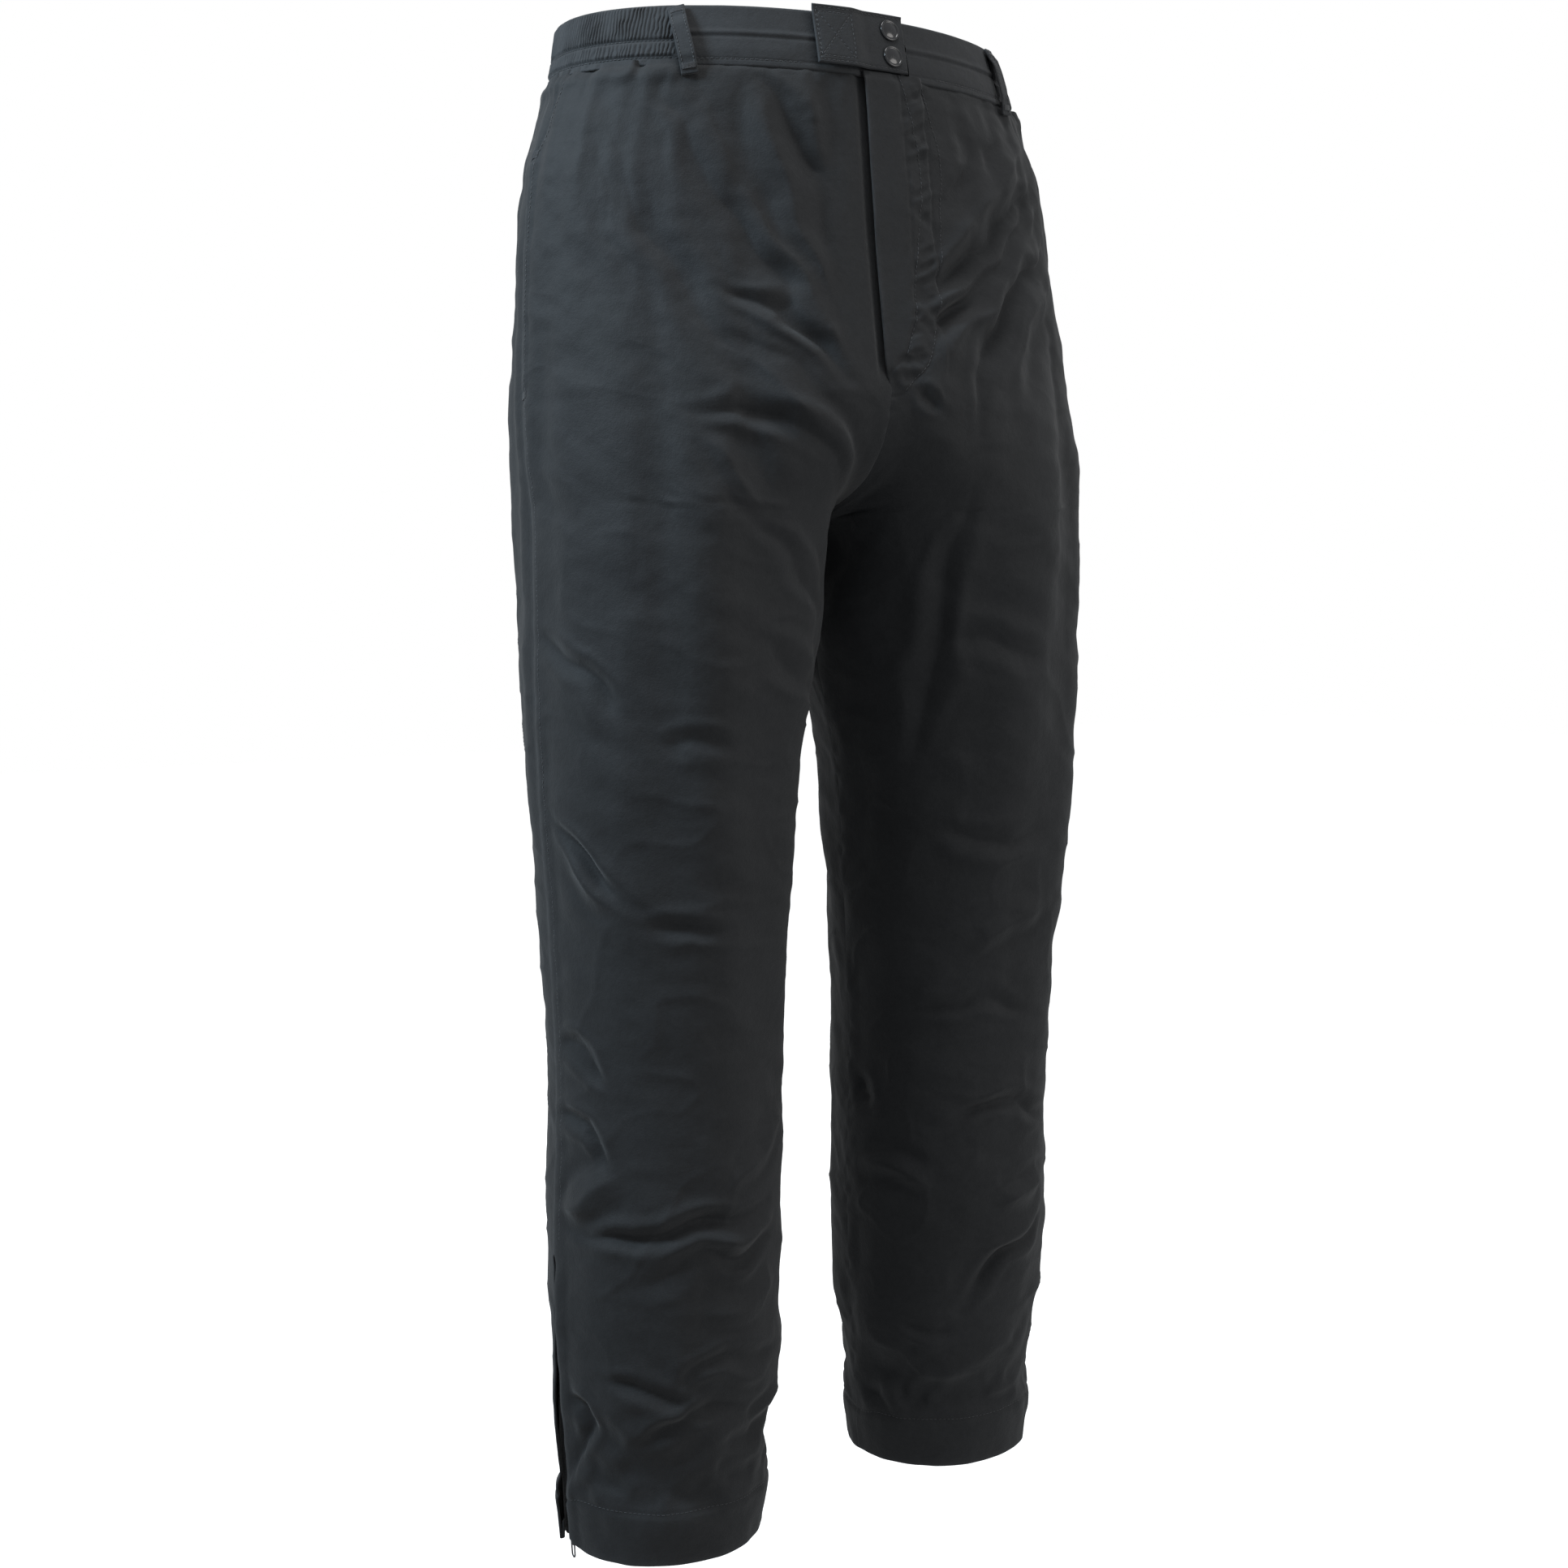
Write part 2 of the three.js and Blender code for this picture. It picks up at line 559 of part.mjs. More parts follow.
function handPocket(side, name) {
  const place = half(side);
  const bag = (roof, floor, frontEdge, rear, outer, inner) => {
    const columns = (z) => [...spread(atOutseam(z, frontEdge), atOutseam(z, -4), 6),
      ...spread(atOutseam(z, 0), atOutseam(z, rear), 2)];
    return toManifold(sheet({ rows: spread(roof, floor, 8), columns, place, outer, inner }));
  };
  const whole = (outer, inner) => bag(POCKET.roof, POCKET.floor, POCKET.front, POCKET.rear, outer, inner);
  const skin = 1;
  const outer = -SHELL - AIR - LINING - 2;
  const deep = outer - 20;
  const room = bag(POCKET.roof - skin, POCKET.floor + skin, POCKET.front + skin, POCKET.rear - skin,
    outer, deep + skin);
  const mouthColumns = (z) => [atOutseam(z, -2.4), atOutseam(z, 0), atOutseam(z, 2.4)];
  const mouth = toManifold(sheet({
    rows: spread(POCKET.top, POCKET.bottom, 4), columns: mouthColumns, place, outer: outer + 2, inner: outer - 3,
  }));
  const outerCloth = whole(outer, outer - skin).subtract(mouth);
  const innerCloth = whole(outer - skin - GAP, deep).subtract(room);
  add(`pocket_bag_outer_${name}`, fromManifold(outerCloth), LINING_TAFFETA);
  add(`pocket_bag_inner_${name}`, fromManifold(innerCloth), LINING_TAFFETA);
}

// ---- Hem zips ----

function hemZip(side, name) {
  const place = half(side);
  const at = (z) => {
    const on = place(0.5, z);
    return new THREE.Vector3(on.x, on.y, z);
  };
  const head = HEM_ZIP.top - 3;
  const frame = zipFrame(at(HEM_ZIP.bottom), at(head), new THREE.Vector3(side, 0, 0));
  const middle = -SHELL - 2 * GAP - ZIP.tape / 2;
  const length = at(head).distanceTo(at(HEM_ZIP.bottom));
  const rows = spread(head, HEM_ZIP.bottom, 4);
  const near = ZIP.split / 2 + ZIP.tooth + GAP;
  for (const [edge, sign] of [['front', -1], ['back', 1]]) {
    const columns = (z) => spread(atOutseam(z, sign * near), atOutseam(z, sign * HEM_ZIP.tape), 3);
    const tape = sheet({ rows, columns, place, outer: middle + ZIP.tape / 2, inner: middle - ZIP.tape / 2 });
    add(`hem_zip_tape_${edge}_${name}`, tape, TAPE);
    add(`hem_zip_teeth_${edge}_${name}`, toothRow(-sign * side, middle, 0.5, length), TEETH_PLASTIC, frame);
  }
  const guardColumns = (z) => spread(atOutseam(z, -16), atOutseam(z, 16), 6);
  const guard = sheet({ rows, columns: guardColumns, place, outer: middle - 3.9, inner: middle - 4.9 });
  add(`hem_zip_guard_${name}`, guard, SHELL_NYLON);
  const lift = 2;
  const slider = zipSlider(middle, ARCH.open);
  slider.translate(0, 0, lift);
  add(`hem_zip_slider_${name}`, slider, SLIDER_METAL, frame);
  const pull = zipPull();
  pull.translate(0, pullAxis(middle, ARCH.open), lift + SLIDER.length / 2);
  add(`hem_zip_pull_${name}`, pull, SLIDER_METAL, frame);
}

// ---- Assembly ----

waistbandFronts();
waistbandBack();
beltLoops();
waistTab();
snaps();
flyStrips();
flyZip();
for (const [side, name] of [[-1, 'right'], [1, 'left']]) {
  shellPanels(side, name);
  liningLeg(side, name);
  hemFacings(side, name);
  waistbandSide(side, name);
  handPocket(side, name);
  hemZip(side, name);
}

export default trousers;
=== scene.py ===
import math

import bpy
import numpy as np
from mathutils import Matrix, Vector


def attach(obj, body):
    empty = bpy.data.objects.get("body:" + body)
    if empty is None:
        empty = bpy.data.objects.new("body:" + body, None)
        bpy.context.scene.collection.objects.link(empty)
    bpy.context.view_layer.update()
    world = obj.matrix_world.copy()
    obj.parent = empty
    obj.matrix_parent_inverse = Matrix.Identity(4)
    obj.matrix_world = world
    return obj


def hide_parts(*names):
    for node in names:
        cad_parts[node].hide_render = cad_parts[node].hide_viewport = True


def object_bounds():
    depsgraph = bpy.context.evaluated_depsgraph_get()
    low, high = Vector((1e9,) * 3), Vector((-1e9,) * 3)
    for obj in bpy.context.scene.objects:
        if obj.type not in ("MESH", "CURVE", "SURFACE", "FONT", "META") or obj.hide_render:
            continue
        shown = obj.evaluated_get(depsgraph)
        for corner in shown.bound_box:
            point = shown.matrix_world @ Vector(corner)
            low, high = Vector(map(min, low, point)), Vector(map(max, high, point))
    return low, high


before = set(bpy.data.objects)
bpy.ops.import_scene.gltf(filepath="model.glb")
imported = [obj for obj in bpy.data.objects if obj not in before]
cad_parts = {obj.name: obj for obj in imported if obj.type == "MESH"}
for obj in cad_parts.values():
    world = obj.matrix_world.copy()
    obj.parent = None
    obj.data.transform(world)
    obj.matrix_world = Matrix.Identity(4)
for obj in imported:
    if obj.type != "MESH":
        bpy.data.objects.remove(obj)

cad_box = [list(corner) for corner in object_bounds()]

# ---- The studio ----
# The trousers hang in the air, filled out as if worn, well above a pale floor.
# One broad soft light stands high on the left, with weaker ones on the right, behind and above.

FLOOR_DROP, FLOOR_REACH = 0.30, 9.0
CAMERA_AT = (-0.753, -1.3627, -0.3651)
CAMERA_TURN, CAMERA_TILT, CAMERA_LENS, CAMERA_SENSOR = -28.94, -6.04, 48.26, 36


def aimed(obj, target):
    to_target = Vector(target) - obj.location
    obj.rotation_euler = to_target.to_track_quat("-Z", "Y").to_euler()


camera = bpy.data.objects.new("camera", bpy.data.cameras.new("camera"))
camera.location = CAMERA_AT
camera.rotation_euler = (math.radians(90 + CAMERA_TILT), 0, math.radians(CAMERA_TURN))
camera.data.lens = CAMERA_LENS
camera.data.sensor_width = CAMERA_SENSOR
bpy.context.collection.objects.link(camera)
bpy.context.scene.camera = camera


def soft_light(name, at, target, size, power, colour=(1, 1, 1)):
    lamp = bpy.data.lights.new(name, "AREA")
    lamp.shape, lamp.size, lamp.energy, lamp.color = "DISK", size, power, colour
    obj = bpy.data.objects.new(name, lamp)
    obj.location = at
    bpy.context.collection.objects.link(obj)
    aimed(obj, target)


soft_light("key_light", (-1.40, 0.02, 0.72), (-0.15, 0, -0.18), 0.5, 30, (0.70, 0.87, 1.0))
soft_light("fill_light", (1.6, -2.4, 0.3), (0, 0, -0.5), 1.8, 20, (1.0, 0.97, 0.94))
soft_light("top_light", (-0.3, -0.6, 2.2), (0, 0, -0.3), 1.2, 20)
soft_light("back_light", (1.1, 2.4, 0.8), (0, 0, -0.5), 1.6, 34)
bpy.context.scene.view_settings.view_transform = "Standard"

world = bpy.data.worlds.new("studio")
world.use_nodes = True
bpy.context.scene.world = world
world_nodes, world_links = world.node_tree.nodes, world.node_tree.links
seen, lit = world_nodes["Background"], world_nodes.new("ShaderNodeBackground")
seen.inputs["Strength"].default_value = 1.0
seen.inputs["Color"].default_value = (1, 1, 1, 1)
lit.inputs["Color"].default_value = (0.95, 0.98, 1, 1)
lit.inputs["Strength"].default_value = 0.34
choose, ray = world_nodes.new("ShaderNodeMixShader"), world_nodes.new("ShaderNodeLightPath")
world_links.new(ray.outputs["Is Camera Ray"], choose.inputs["Fac"])
world_links.new(lit.outputs[0], choose.inputs[1])
world_links.new(seen.outputs[0], choose.inputs[2])
world_links.new(choose.outputs[0], world_nodes["World Output"].inputs["Surface"])


class Shade:
    """A socket of a material. Arithmetic on it adds Math nodes; node() adds any other node."""

    MIX_FACTOR, MIX_LOW, MIX_HIGH, MIX_RESULT = 0, 6, 7, 2

    def __init__(self, tree, socket=None):
        self.tree, self.socket = tree, socket

    def node(self, kind, settings=None, inputs=None, output=0):
        made = self.tree.nodes.new("ShaderNode" + kind)
        for name, value in (settings or {}).items():
            if name == "stops":
                while len(made.color_ramp.elements) < len(value):
                    made.color_ramp.elements.new(0.5)
                for stop, (place, colour) in zip(made.color_ramp.elements, value):
                    stop.position, stop.color = place, (*colour, 1)
            else:
                setattr(made, name, value)
        for name, value in (inputs or {}).items():
            if isinstance(value, Shade):
                self.tree.links.new(value.socket, made.inputs[name])
            else:
                made.inputs[name].default_value = value
        return Shade(self.tree, made.outputs[output])

    def maths(self, operation, left, right):
        return self.node("Math", {"operation": operation}, {0: left, 1: right})

    def __add__(self, other):
        return self.maths("ADD", self, other)

    def __mul__(self, other):
        return self.maths("MULTIPLY", self, other)

    def __sub__(self, other):
        return self.maths("SUBTRACT", self, other)

    def __rsub__(self, other):
        return self.maths("SUBTRACT", other, self)

    __radd__, __rmul__ = __add__, __mul__

    def ramp(self, *stops):
        greys = [(place, (value, value, value)) for place, value in stops]
        return self.node("ValToRGB", {"stops": greys}, {"Fac": self})

    def mix(self, low, high):
        inputs = {self.MIX_FACTOR: self, self.MIX_LOW: low, self.MIX_HIGH: high}
        return self.node("Mix", {"data_type": "RGBA"}, inputs, self.MIX_RESULT)

    def bump(self, distance, strength=1.0, under=None):
        links = {"Strength": strength, "Distance": distance, "Height": self}
        if under is not None:
            links["Normal"] = under
        return self.node("Bump", None, links)


def finish(name, fixed, colour):
    """A material with these fixed values, its shader, and a start for expressions."""
    material = bpy.data.materials.new(name)
    material.use_nodes = True
    material.diffuse_color = (*colour, 1)
    shader = material.node_tree.nodes["Principled BSDF"]
    shader.inputs["Base Color"].default_value = (*colour, 1)
    for key, value in fixed.items():
        shader.inputs[key].default_value = value
    return material, shader, Shade(material.node_tree)


def feed(shader, **links):
    for key, value in links.items():
        value.tree.links.new(value.socket, shader.inputs[key.replace("_", " ")])


floor_mesh = bpy.data.meshes.new("floor")
floor_z = cad_box[0][2] - FLOOR_DROP
floor_corners = [(x * FLOOR_REACH, y * FLOOR_REACH, floor_z) for x, y in ((-1, -1), (1, -1), (1, 1), (-1, 1))]
floor_mesh.from_pydata(floor_corners, [], [(0, 1, 2, 3)])
floor = bpy.data.objects.new("floor", floor_mesh)
bpy.context.collection.objects.link(floor)
floor.visible_diffuse = floor.visible_glossy = False
paper_fixed = {"Roughness": 0.95, "Emission Strength": 0.9}
paper, paper_shader, paper_shade = finish("floor_paper", paper_fixed, (0.5, 0.5, 0.5))
tone = paper_shade.node("TexNoise", None, {"Scale": 2.0, "Detail": 2.0}).ramp((0.3, 0.93), (0.7, 0.98))
feed(paper_shader, Emission_Color=tone)
floor.data.materials.append(paper)

# ---- The form ----
# The garment's outer form, as level rings: each half is an ellipse, cut off at the centre plane
# above the crotch. Height, centre across, centre front to back, half width, depth in front and behind.

MM = 0.001
RINGS = MM * np.array([
    (0, 0, 0, 170, 109, 109),
    (-40, 0, -7, 180, 112, 115),
    (-100, 0, -14, 201, 113.6, 124),
    (-170, 6, -19, 202, 118.7, 133),
    (-250, 35, -23, 177, 128.6, 138),
    (-300, 80, -25, 132, 128, 134),
    (-335, 104.5, -28, 104.5, 123, 125),
    (-420, 110, -32, 101.5, 115, 116),
    (-520, 120, -36, 92, 105, 106),
    (-620, 121.5, -36, 85.5, 96, 97),
    (-720, 123.5, -36, 80.5, 88, 89),
    (-840, 126, -36, 83, 84, 86),
    (-950, 127.3, -36, 77, 75.5, 76),
    (-1050, 129.5, -36, 70.5, 66, 66),
])
CROTCH, HEM, BAND = -0.335, -1.050, -0.040
STAGGER = 0.021
SIDES = {"right": -1, "left": 1}


def ring(column, z):
    heights, values = RINGS[:, 0], RINGS[:, column]
    last = len(heights) - 1
    z = np.clip(z, heights[-1], heights[0])
    i = np.clip(np.searchsorted(-heights, -z, side="right") - 1, 0, last - 1)
    before, after = np.maximum(np.arange(last + 1) - 1, 0), np.minimum(np.arange(last + 1) + 1, last)
    slopes = (values[after] - values[before]) / (heights[after] - heights[before])
    span = heights[i + 1] - heights[i]
    s = (z - heights[i]) / span
    return (values[i] * (1 + 2 * s) * (1 - s) ** 2 + values[i + 1] * s * s * (3 - 2 * s)
            + span * (slopes[i] * s * (1 - s) ** 2 - slopes[i + 1] * s * s * (1 - s)))


def ring_reach(z):
    """Half of the angle that one side's ellipse covers: all round below the crotch."""
    share = np.clip(-ring(1, z) / ring(3, z), -1, 1)
    return np.where(z <= CROTCH, np.pi, np.arccos(share))


def form(side, t, z):
    """Points and level outward normals; t is 0 at the centre front or inseam, 0.5 outseam, 1 centre back."""
    t, z = np.broadcast_arrays(np.asarray(t, float), np.asarray(z, float))
    angle = ring_reach(z) * (2 * t - 1)
    width = ring(3, z)
    depth = np.where(angle < 0, ring(4, z), ring(5, z))
    sway = STAGGER * np.clip((CROTCH - z) / (CROTCH - HEM), 0, None)
    points = np.stack([side * (ring(1, z) + width * np.cos(angle)),
                       ring(2, z) + depth * np.sin(angle) + side * sway, z], axis=-1)
    normals = np.stack([side * np.cos(angle) / width, np.sin(angle) / depth, np.zeros_like(z)], axis=-1)
    return points, normals / np.linalg.norm(normals, axis=-1, keepdims=True)


# ---- Creases ----
# The padded nylon buckles where the legs hang: pulls run from the fly and the hips, and shallow
# rolls lie across the thighs, knees and shins. Each is a path over the cloth, with height and width in mm.


def half_round(z):
    """Length of cloth from the outseam to the centre seam or inseam at this height."""
    a, b = ring(3, z), (ring(4, z) + ring(5, z)) / 2
    return ring_reach(z) * np.sqrt((a * a + b * b) / 2)


def from_outseam(t, z):
    """Length round from the outseam, negative in front of it."""
    return half_round(z) * (2 * t - 1)


def at_outseam(u, z):
    return 0.5 + u / (2 * half_round(z))


def smooth(value):
    s = np.clip(value, 0, 1)
    return s * s * (3 - 2 * s)


LATTICE = 256


def lumps(u, v, size, seed):
    """Smooth random lumps between -1 and 1, of this size, over two lengths."""
    lattice = np.random.default_rng(seed).uniform(-1, 1, (LATTICE, LATTICE))
    x, y = np.broadcast_arrays(u / size, v / size)
    i, j = np.floor(x).astype(int), np.floor(y).astype(int)
    fx, fy = smooth(x - i), smooth(y - j)

    def corner(di, dj):
        return lattice[(i + di) % LATTICE, (j + dj) % LATTICE]

    low = corner(0, 0) * (1 - fx) + corner(1, 0) * fx
    high = corner(0, 1) * (1 - fx) + corner(1, 1) * fx
    return low * (1 - fy) + high * fy


def bell(x, width):
    return np.exp(-(x / width) ** 2)


FOLDS = {
    "right": [
        ([(0.27, -0.046), (0.20, -0.110), (0.12, -0.185), (0.05, -0.250)], -2.8, 7),
        ([(0.23, -0.046), (0.155, -0.115), (0.09, -0.190), (0.04, -0.245)], 2.8, 7),
        ([(0.34, -0.060), (0.27, -0.150), (0.18, -0.235), (0.10, -0.300)], -2.4, 9),
        ([(0.16, -0.044), (0.11, -0.076), (0.07, -0.112), (0.055, -0.150)], -3.0, 6),
        ([(0.22, -0.052), (0.17, -0.100), (0.13, -0.140), (0.10, -0.170)], -3.5, 7),
        ([(0.08, -0.044), (0.05, -0.072)], -2.5, 5),
        ([(0.15, -0.060), (0.11, -0.110), (0.09, -0.144), (0.05, -0.204)], 4.0, 7),
        ([(0.19, -0.186), (0.12, -0.200), (0.08, -0.228), (0.055, -0.252)], -4.0, 5),
        ([(0.20, -0.226), (0.15, -0.252), (0.10, -0.288), (0.05, -0.316)], 5.0, 8),
        ([(0.25, -0.270), (0.19, -0.268), (0.12, -0.284), (0.07, -0.318)], -5.0, 6),
        ([(0.25, -0.290), (0.22, -0.334)], 3.0, 8),
        ([(0.27, -0.110), (0.24, -0.165), (0.19, -0.215)], -2.0, 9),
        ([(0.36, -0.075), (0.32, -0.130), (0.30, -0.190)], -1.6, 9),
        ([(0.50, -0.418), (0.43, -0.444), (0.37, -0.478)], -3.2, 6),
        ([(0.24, -0.346), (0.18, -0.378), (0.12, -0.400)], -2.8, 6),
        ([(0.23, -0.424), (0.14, -0.450), (0.07, -0.464)], -3.2, 7),
        ([(0.34, -0.490), (0.30, -0.484), (0.25, -0.489)], -2.4, 5),
        ([(0.48, -0.540), (0.42, -0.568), (0.37, -0.594)], -4.2, 5),
        ([(0.47, -0.560), (0.41, -0.590), (0.36, -0.606)], 3.0, 7),
        ([(0.36, -0.609), (0.30, -0.606), (0.25, -0.613)], -3.0, 5),
        ([(0.51, -0.690), (0.45, -0.702), (0.39, -0.718)], -3.2, 5),
        ([(0.51, -0.742), (0.44, -0.752), (0.39, -0.782)], -3.4, 5),
        ([(0.24, -0.794), (0.17, -0.768), (0.10, -0.742)], 3.0, 6),
        ([(0.50, -0.815), (0.43, -0.795), (0.37, -0.783)], 4.5, 8),
        ([(0.47, -0.826), (0.37, -0.827), (0.29, -0.817), (0.17, -0.811)], -5.0, 6),
        ([(0.37, -0.862), (0.28, -0.838), (0.14, -0.835)], -3.4, 6),
        ([(0.33, -0.850), (0.24, -0.826), (0.13, -0.822)], 3.0, 7),
        ([(0.32, -0.926), (0.24, -0.912), (0.11, -0.917)], -3.2, 5),
        ([(0.42, -0.927), (0.34, -0.932), (0.28, -0.945)], -3.4, 5),
        ([(0.36, -0.969), (0.28, -0.952), (0.19, -0.947)], -3.0, 5),
        ([(0.25, -0.981), (0.18, -0.975), (0.12, -0.972)], -2.4, 5),
        ([(0.49, -0.938), (0.45, -0.952), (0.44, -0.968), (0.47, -0.986)], -3.6, 5),
        ([(0.17, -0.966), (0.10, -0.950)], 2.6, 5),
        ([(0.30, -0.870), (0.22, -0.880), (0.12, -0.872)], 2.4, 9),
        ([(0.62, -0.500), (0.70, -0.520), (0.80, -0.515)], -3.5, 7),
        ([(0.60, -0.560), (0.70, -0.575), (0.84, -0.560)], -4.5, 7),
        ([(0.64, -0.620), (0.74, -0.612), (0.88, -0.635)], -3.5, 6),
        ([(0.58, -0.690), (0.68, -0.705), (0.80, -0.690)], -3.0, 6),
        ([(0.60, -0.800), (0.72, -0.822), (0.86, -0.805)], -4.5, 7),
        ([(0.62, -0.870), (0.75, -0.860), (0.90, -0.875)], -3.5, 6),
        ([(0.60, -0.930), (0.72, -0.945), (0.86, -0.930)], -3.2, 6),
        ([(0.95, -0.250), (0.86, -0.285), (0.76, -0.330), (0.66, -0.352)], -4.5, 8),
        ([(0.96, -0.290), (0.88, -0.330), (0.78, -0.385)], -4.0, 7),
        ([(0.90, -0.150), (0.82, -0.185), (0.70, -0.205)], -2.0, 10),
    ],
    "left": [
        ([(0.03, -0.236), (0.10, -0.184), (0.20, -0.140), (0.32, -0.085)], -3.4, 6),
        ([(0.04, -0.252), (0.11, -0.205), (0.22, -0.165), (0.33, -0.120)], 3.2, 7),
        ([(0.02, -0.190), (0.06, -0.162), (0.10, -0.140), (0.20, -0.098), (0.29, -0.060)], 5.0, 8),
        ([(0.05, -0.188), (0.12, -0.150), (0.22, -0.116)], -4.0, 7),
        ([(0.09, -0.118), (0.15, -0.072)], -3.0, 6),
        ([(0.02, -0.206), (0.07, -0.184), (0.13, -0.166)], 4.0, 6),
        ([(0.02, -0.226), (0.08, -0.204), (0.14, -0.182)], -4.5, 6),
        ([(0.17, -0.128), (0.23, -0.112), (0.30, -0.100)], -3.5, 6),
        ([(0.31, -0.134), (0.20, -0.176), (0.15, -0.212), (0.12, -0.246), (0.12, -0.285)], -5.5, 6),
        ([(0.33, -0.150), (0.24, -0.186), (0.18, -0.225), (0.15, -0.270)], 4.0, 9),
        ([(0.15, -0.320), (0.16, -0.380), (0.14, -0.450), (0.11, -0.515)], -4.0, 8),
        ([(0.02, -0.252), (0.05, -0.262)], -3.0, 5),
        ([(0.30, -0.440), (0.22, -0.425), (0.14, -0.430)], -2.5, 7),
        ([(0.33, -0.560), (0.24, -0.572), (0.12, -0.560)], -2.6, 7),
        ([(0.32, -0.616), (0.25, -0.630), (0.17, -0.654)], 3.0, 8),
        ([(0.30, -0.700), (0.20, -0.688), (0.08, -0.700)], -2.6, 6),
        ([(0.01, -0.755), (0.05, -0.782)], -2.6, 5),
        ([(0.02, -0.812), (0.08, -0.816), (0.16, -0.833)], 3.4, 7),
        ([(0.14, -0.782), (0.24, -0.771), (0.40, -0.789)], -4.0, 6),
        ([(0.37, -0.830), (0.30, -0.842), (0.24, -0.854)], 3.4, 6),
        ([(0.37, -0.862), (0.26, -0.888), (0.19, -0.934)], -4.2, 6),
        ([(0.10, -0.935), (0.19, -0.953)], -2.6, 5),
        ([(0.03, -0.990), (0.09, -1.030)], -2.4, 6),
        ([(0.60, -0.560), (0.70, -0.575), (0.84, -0.560)], -4.0, 7),
        ([(0.64, -0.620), (0.74, -0.612), (0.88, -0.635)], -3.5, 6),
        ([(0.60, -0.790), (0.72, -0.812), (0.86, -0.800)], -4.5, 7),
        ([(0.62, -0.870), (0.75, -0.855), (0.90, -0.872)], -3.5, 6),
        ([(0.60, -0.940), (0.72, -0.950), (0.86, -0.930)], -3.0, 6),
        ([(0.95, -0.255), (0.86, -0.290), (0.76, -0.330), (0.68, -0.350)], -4.5, 8),
        ([(0.96, -0.295), (0.88, -0.335), (0.80, -0.380)], -3.5, 7),
        ([(0.88, -0.150), (0.80, -0.180), (0.70, -0.200)], -2.0, 10),
    ],
}


def path_distance(u, z, path):
    """Distance of each place from a path over the cloth, and how far along the path its nearest point is."""
    best, along, walked = np.full(u.shape, 1e9), np.zeros(u.shape), 0.0
    for (u0, z0), (u1, z1) in zip(path, path[1:]):
        du, dz = u1 - u0, z1 - z0
        span = math.hypot(du, dz)
        s = np.clip(((u - u0) * du + (z - z0) * dz) / span ** 2, 0, 1)
        away = np.hypot(u - u0 - s * du, z - z0 - s * dz)
        along = np.where(away < best, walked + s * span, along)
        best = np.minimum(best, away)
        walked += span
    return best, along, walked


def crease(u, z, path, height, width):
    """One crease: sharp along its line, with a low roll of spare cloth on either side of it."""
    path = [(float(from_outseam(t, at)), at) for t, at in path]
    best, along, length = path_distance(u, z, path)
    taper = smooth(np.minimum(along, length - along) / (0.34 * length)) * 0.9 + 0.1
    x = best / (width * MM * (0.65 + 0.35 * taper))
    return 1.25 * height * MM * taper * (np.exp(-x ** 1.3) - 0.42 * bell(x - 2.0, 0.9))


def creased(side, u, z):
    """All creases of one side, with soft rolls, sharp slanting ridges and fine unevenness between them."""
    seed = 11 if side < 0 else 23
    sway = 7 * MM
    wu, wz = u + sway * lumps(u, z, 0.03, seed), z + sway * lumps(u, z, 0.03, seed + 1)
    away = sum(crease(wu, wz, *fold) for fold in FOLDS["right" if side < 0 else "left"])
    slant = z + 0.35 * u * side
    rolls = 1.7 * lumps(u, slant * 2.1, 0.085, seed + 2) + 1.0 * lumps(u, slant * 1.9, 0.034, seed + 3)
    ridges = (1 - np.abs(lumps(wu + 0.4 * wz, 1.7 * wz - 0.3 * wu, 0.055, seed + 5))) ** 7
    legs = 0.35 + 0.65 * smooth((-0.30 - z) / 0.2)
    return away + MM * (rolls + 0.9 * legs * ridges + 0.35 * lumps(u, z * 1.5, 0.012, seed + 4))


# ---- Fly, pocket and seam shaping ----
# The front fly is a folded placket stitched down along a puckered, hooked line. Pocket mouths, hem
# slots and seams pull the cloth in or let it stand proud, and gathers run down from the elastic band.

FLY_END, FLY_EDGE = -0.252, -0.0030
FLY_STITCHING = [(0.028, -0.036), (0.0285, -0.175), (0.026, -0.205), (0.017, -0.232), (0.003, -0.247)]
POCKET_TOP, POCKET_END = -0.095, -0.255
POCKET_SEAM = [(-0.021, -0.036), (-0.019, -0.060), (-0.010, -0.085), (-0.002, -0.097)]
OUTSEAM_STITCHING = -0.0068
SLOT_TOP = -0.845
HEM_STITCHING = HEM + 0.032
ELASTIC_REACH = 0.128
FLY_SINK, PLACKET_LIFT, HEM_FLARE = 3.9 * MM, 1.9 * MM, 7.5 * MM


def fly_share(z):
    return smooth((z - FLY_END) / 0.022)


def gathers(u, s, seed):
    """Small upright puckers just under a gathered seam; s is the distance below it."""
    fine = lumps(u, s * 0.3, 0.0052, seed) * np.exp(-s / 0.009)
    broad = lumps(u, s * 0.35, 0.012, seed + 1) * np.exp(-s / 0.019)
    return MM * (3.2 * fine + 1.9 * broad)


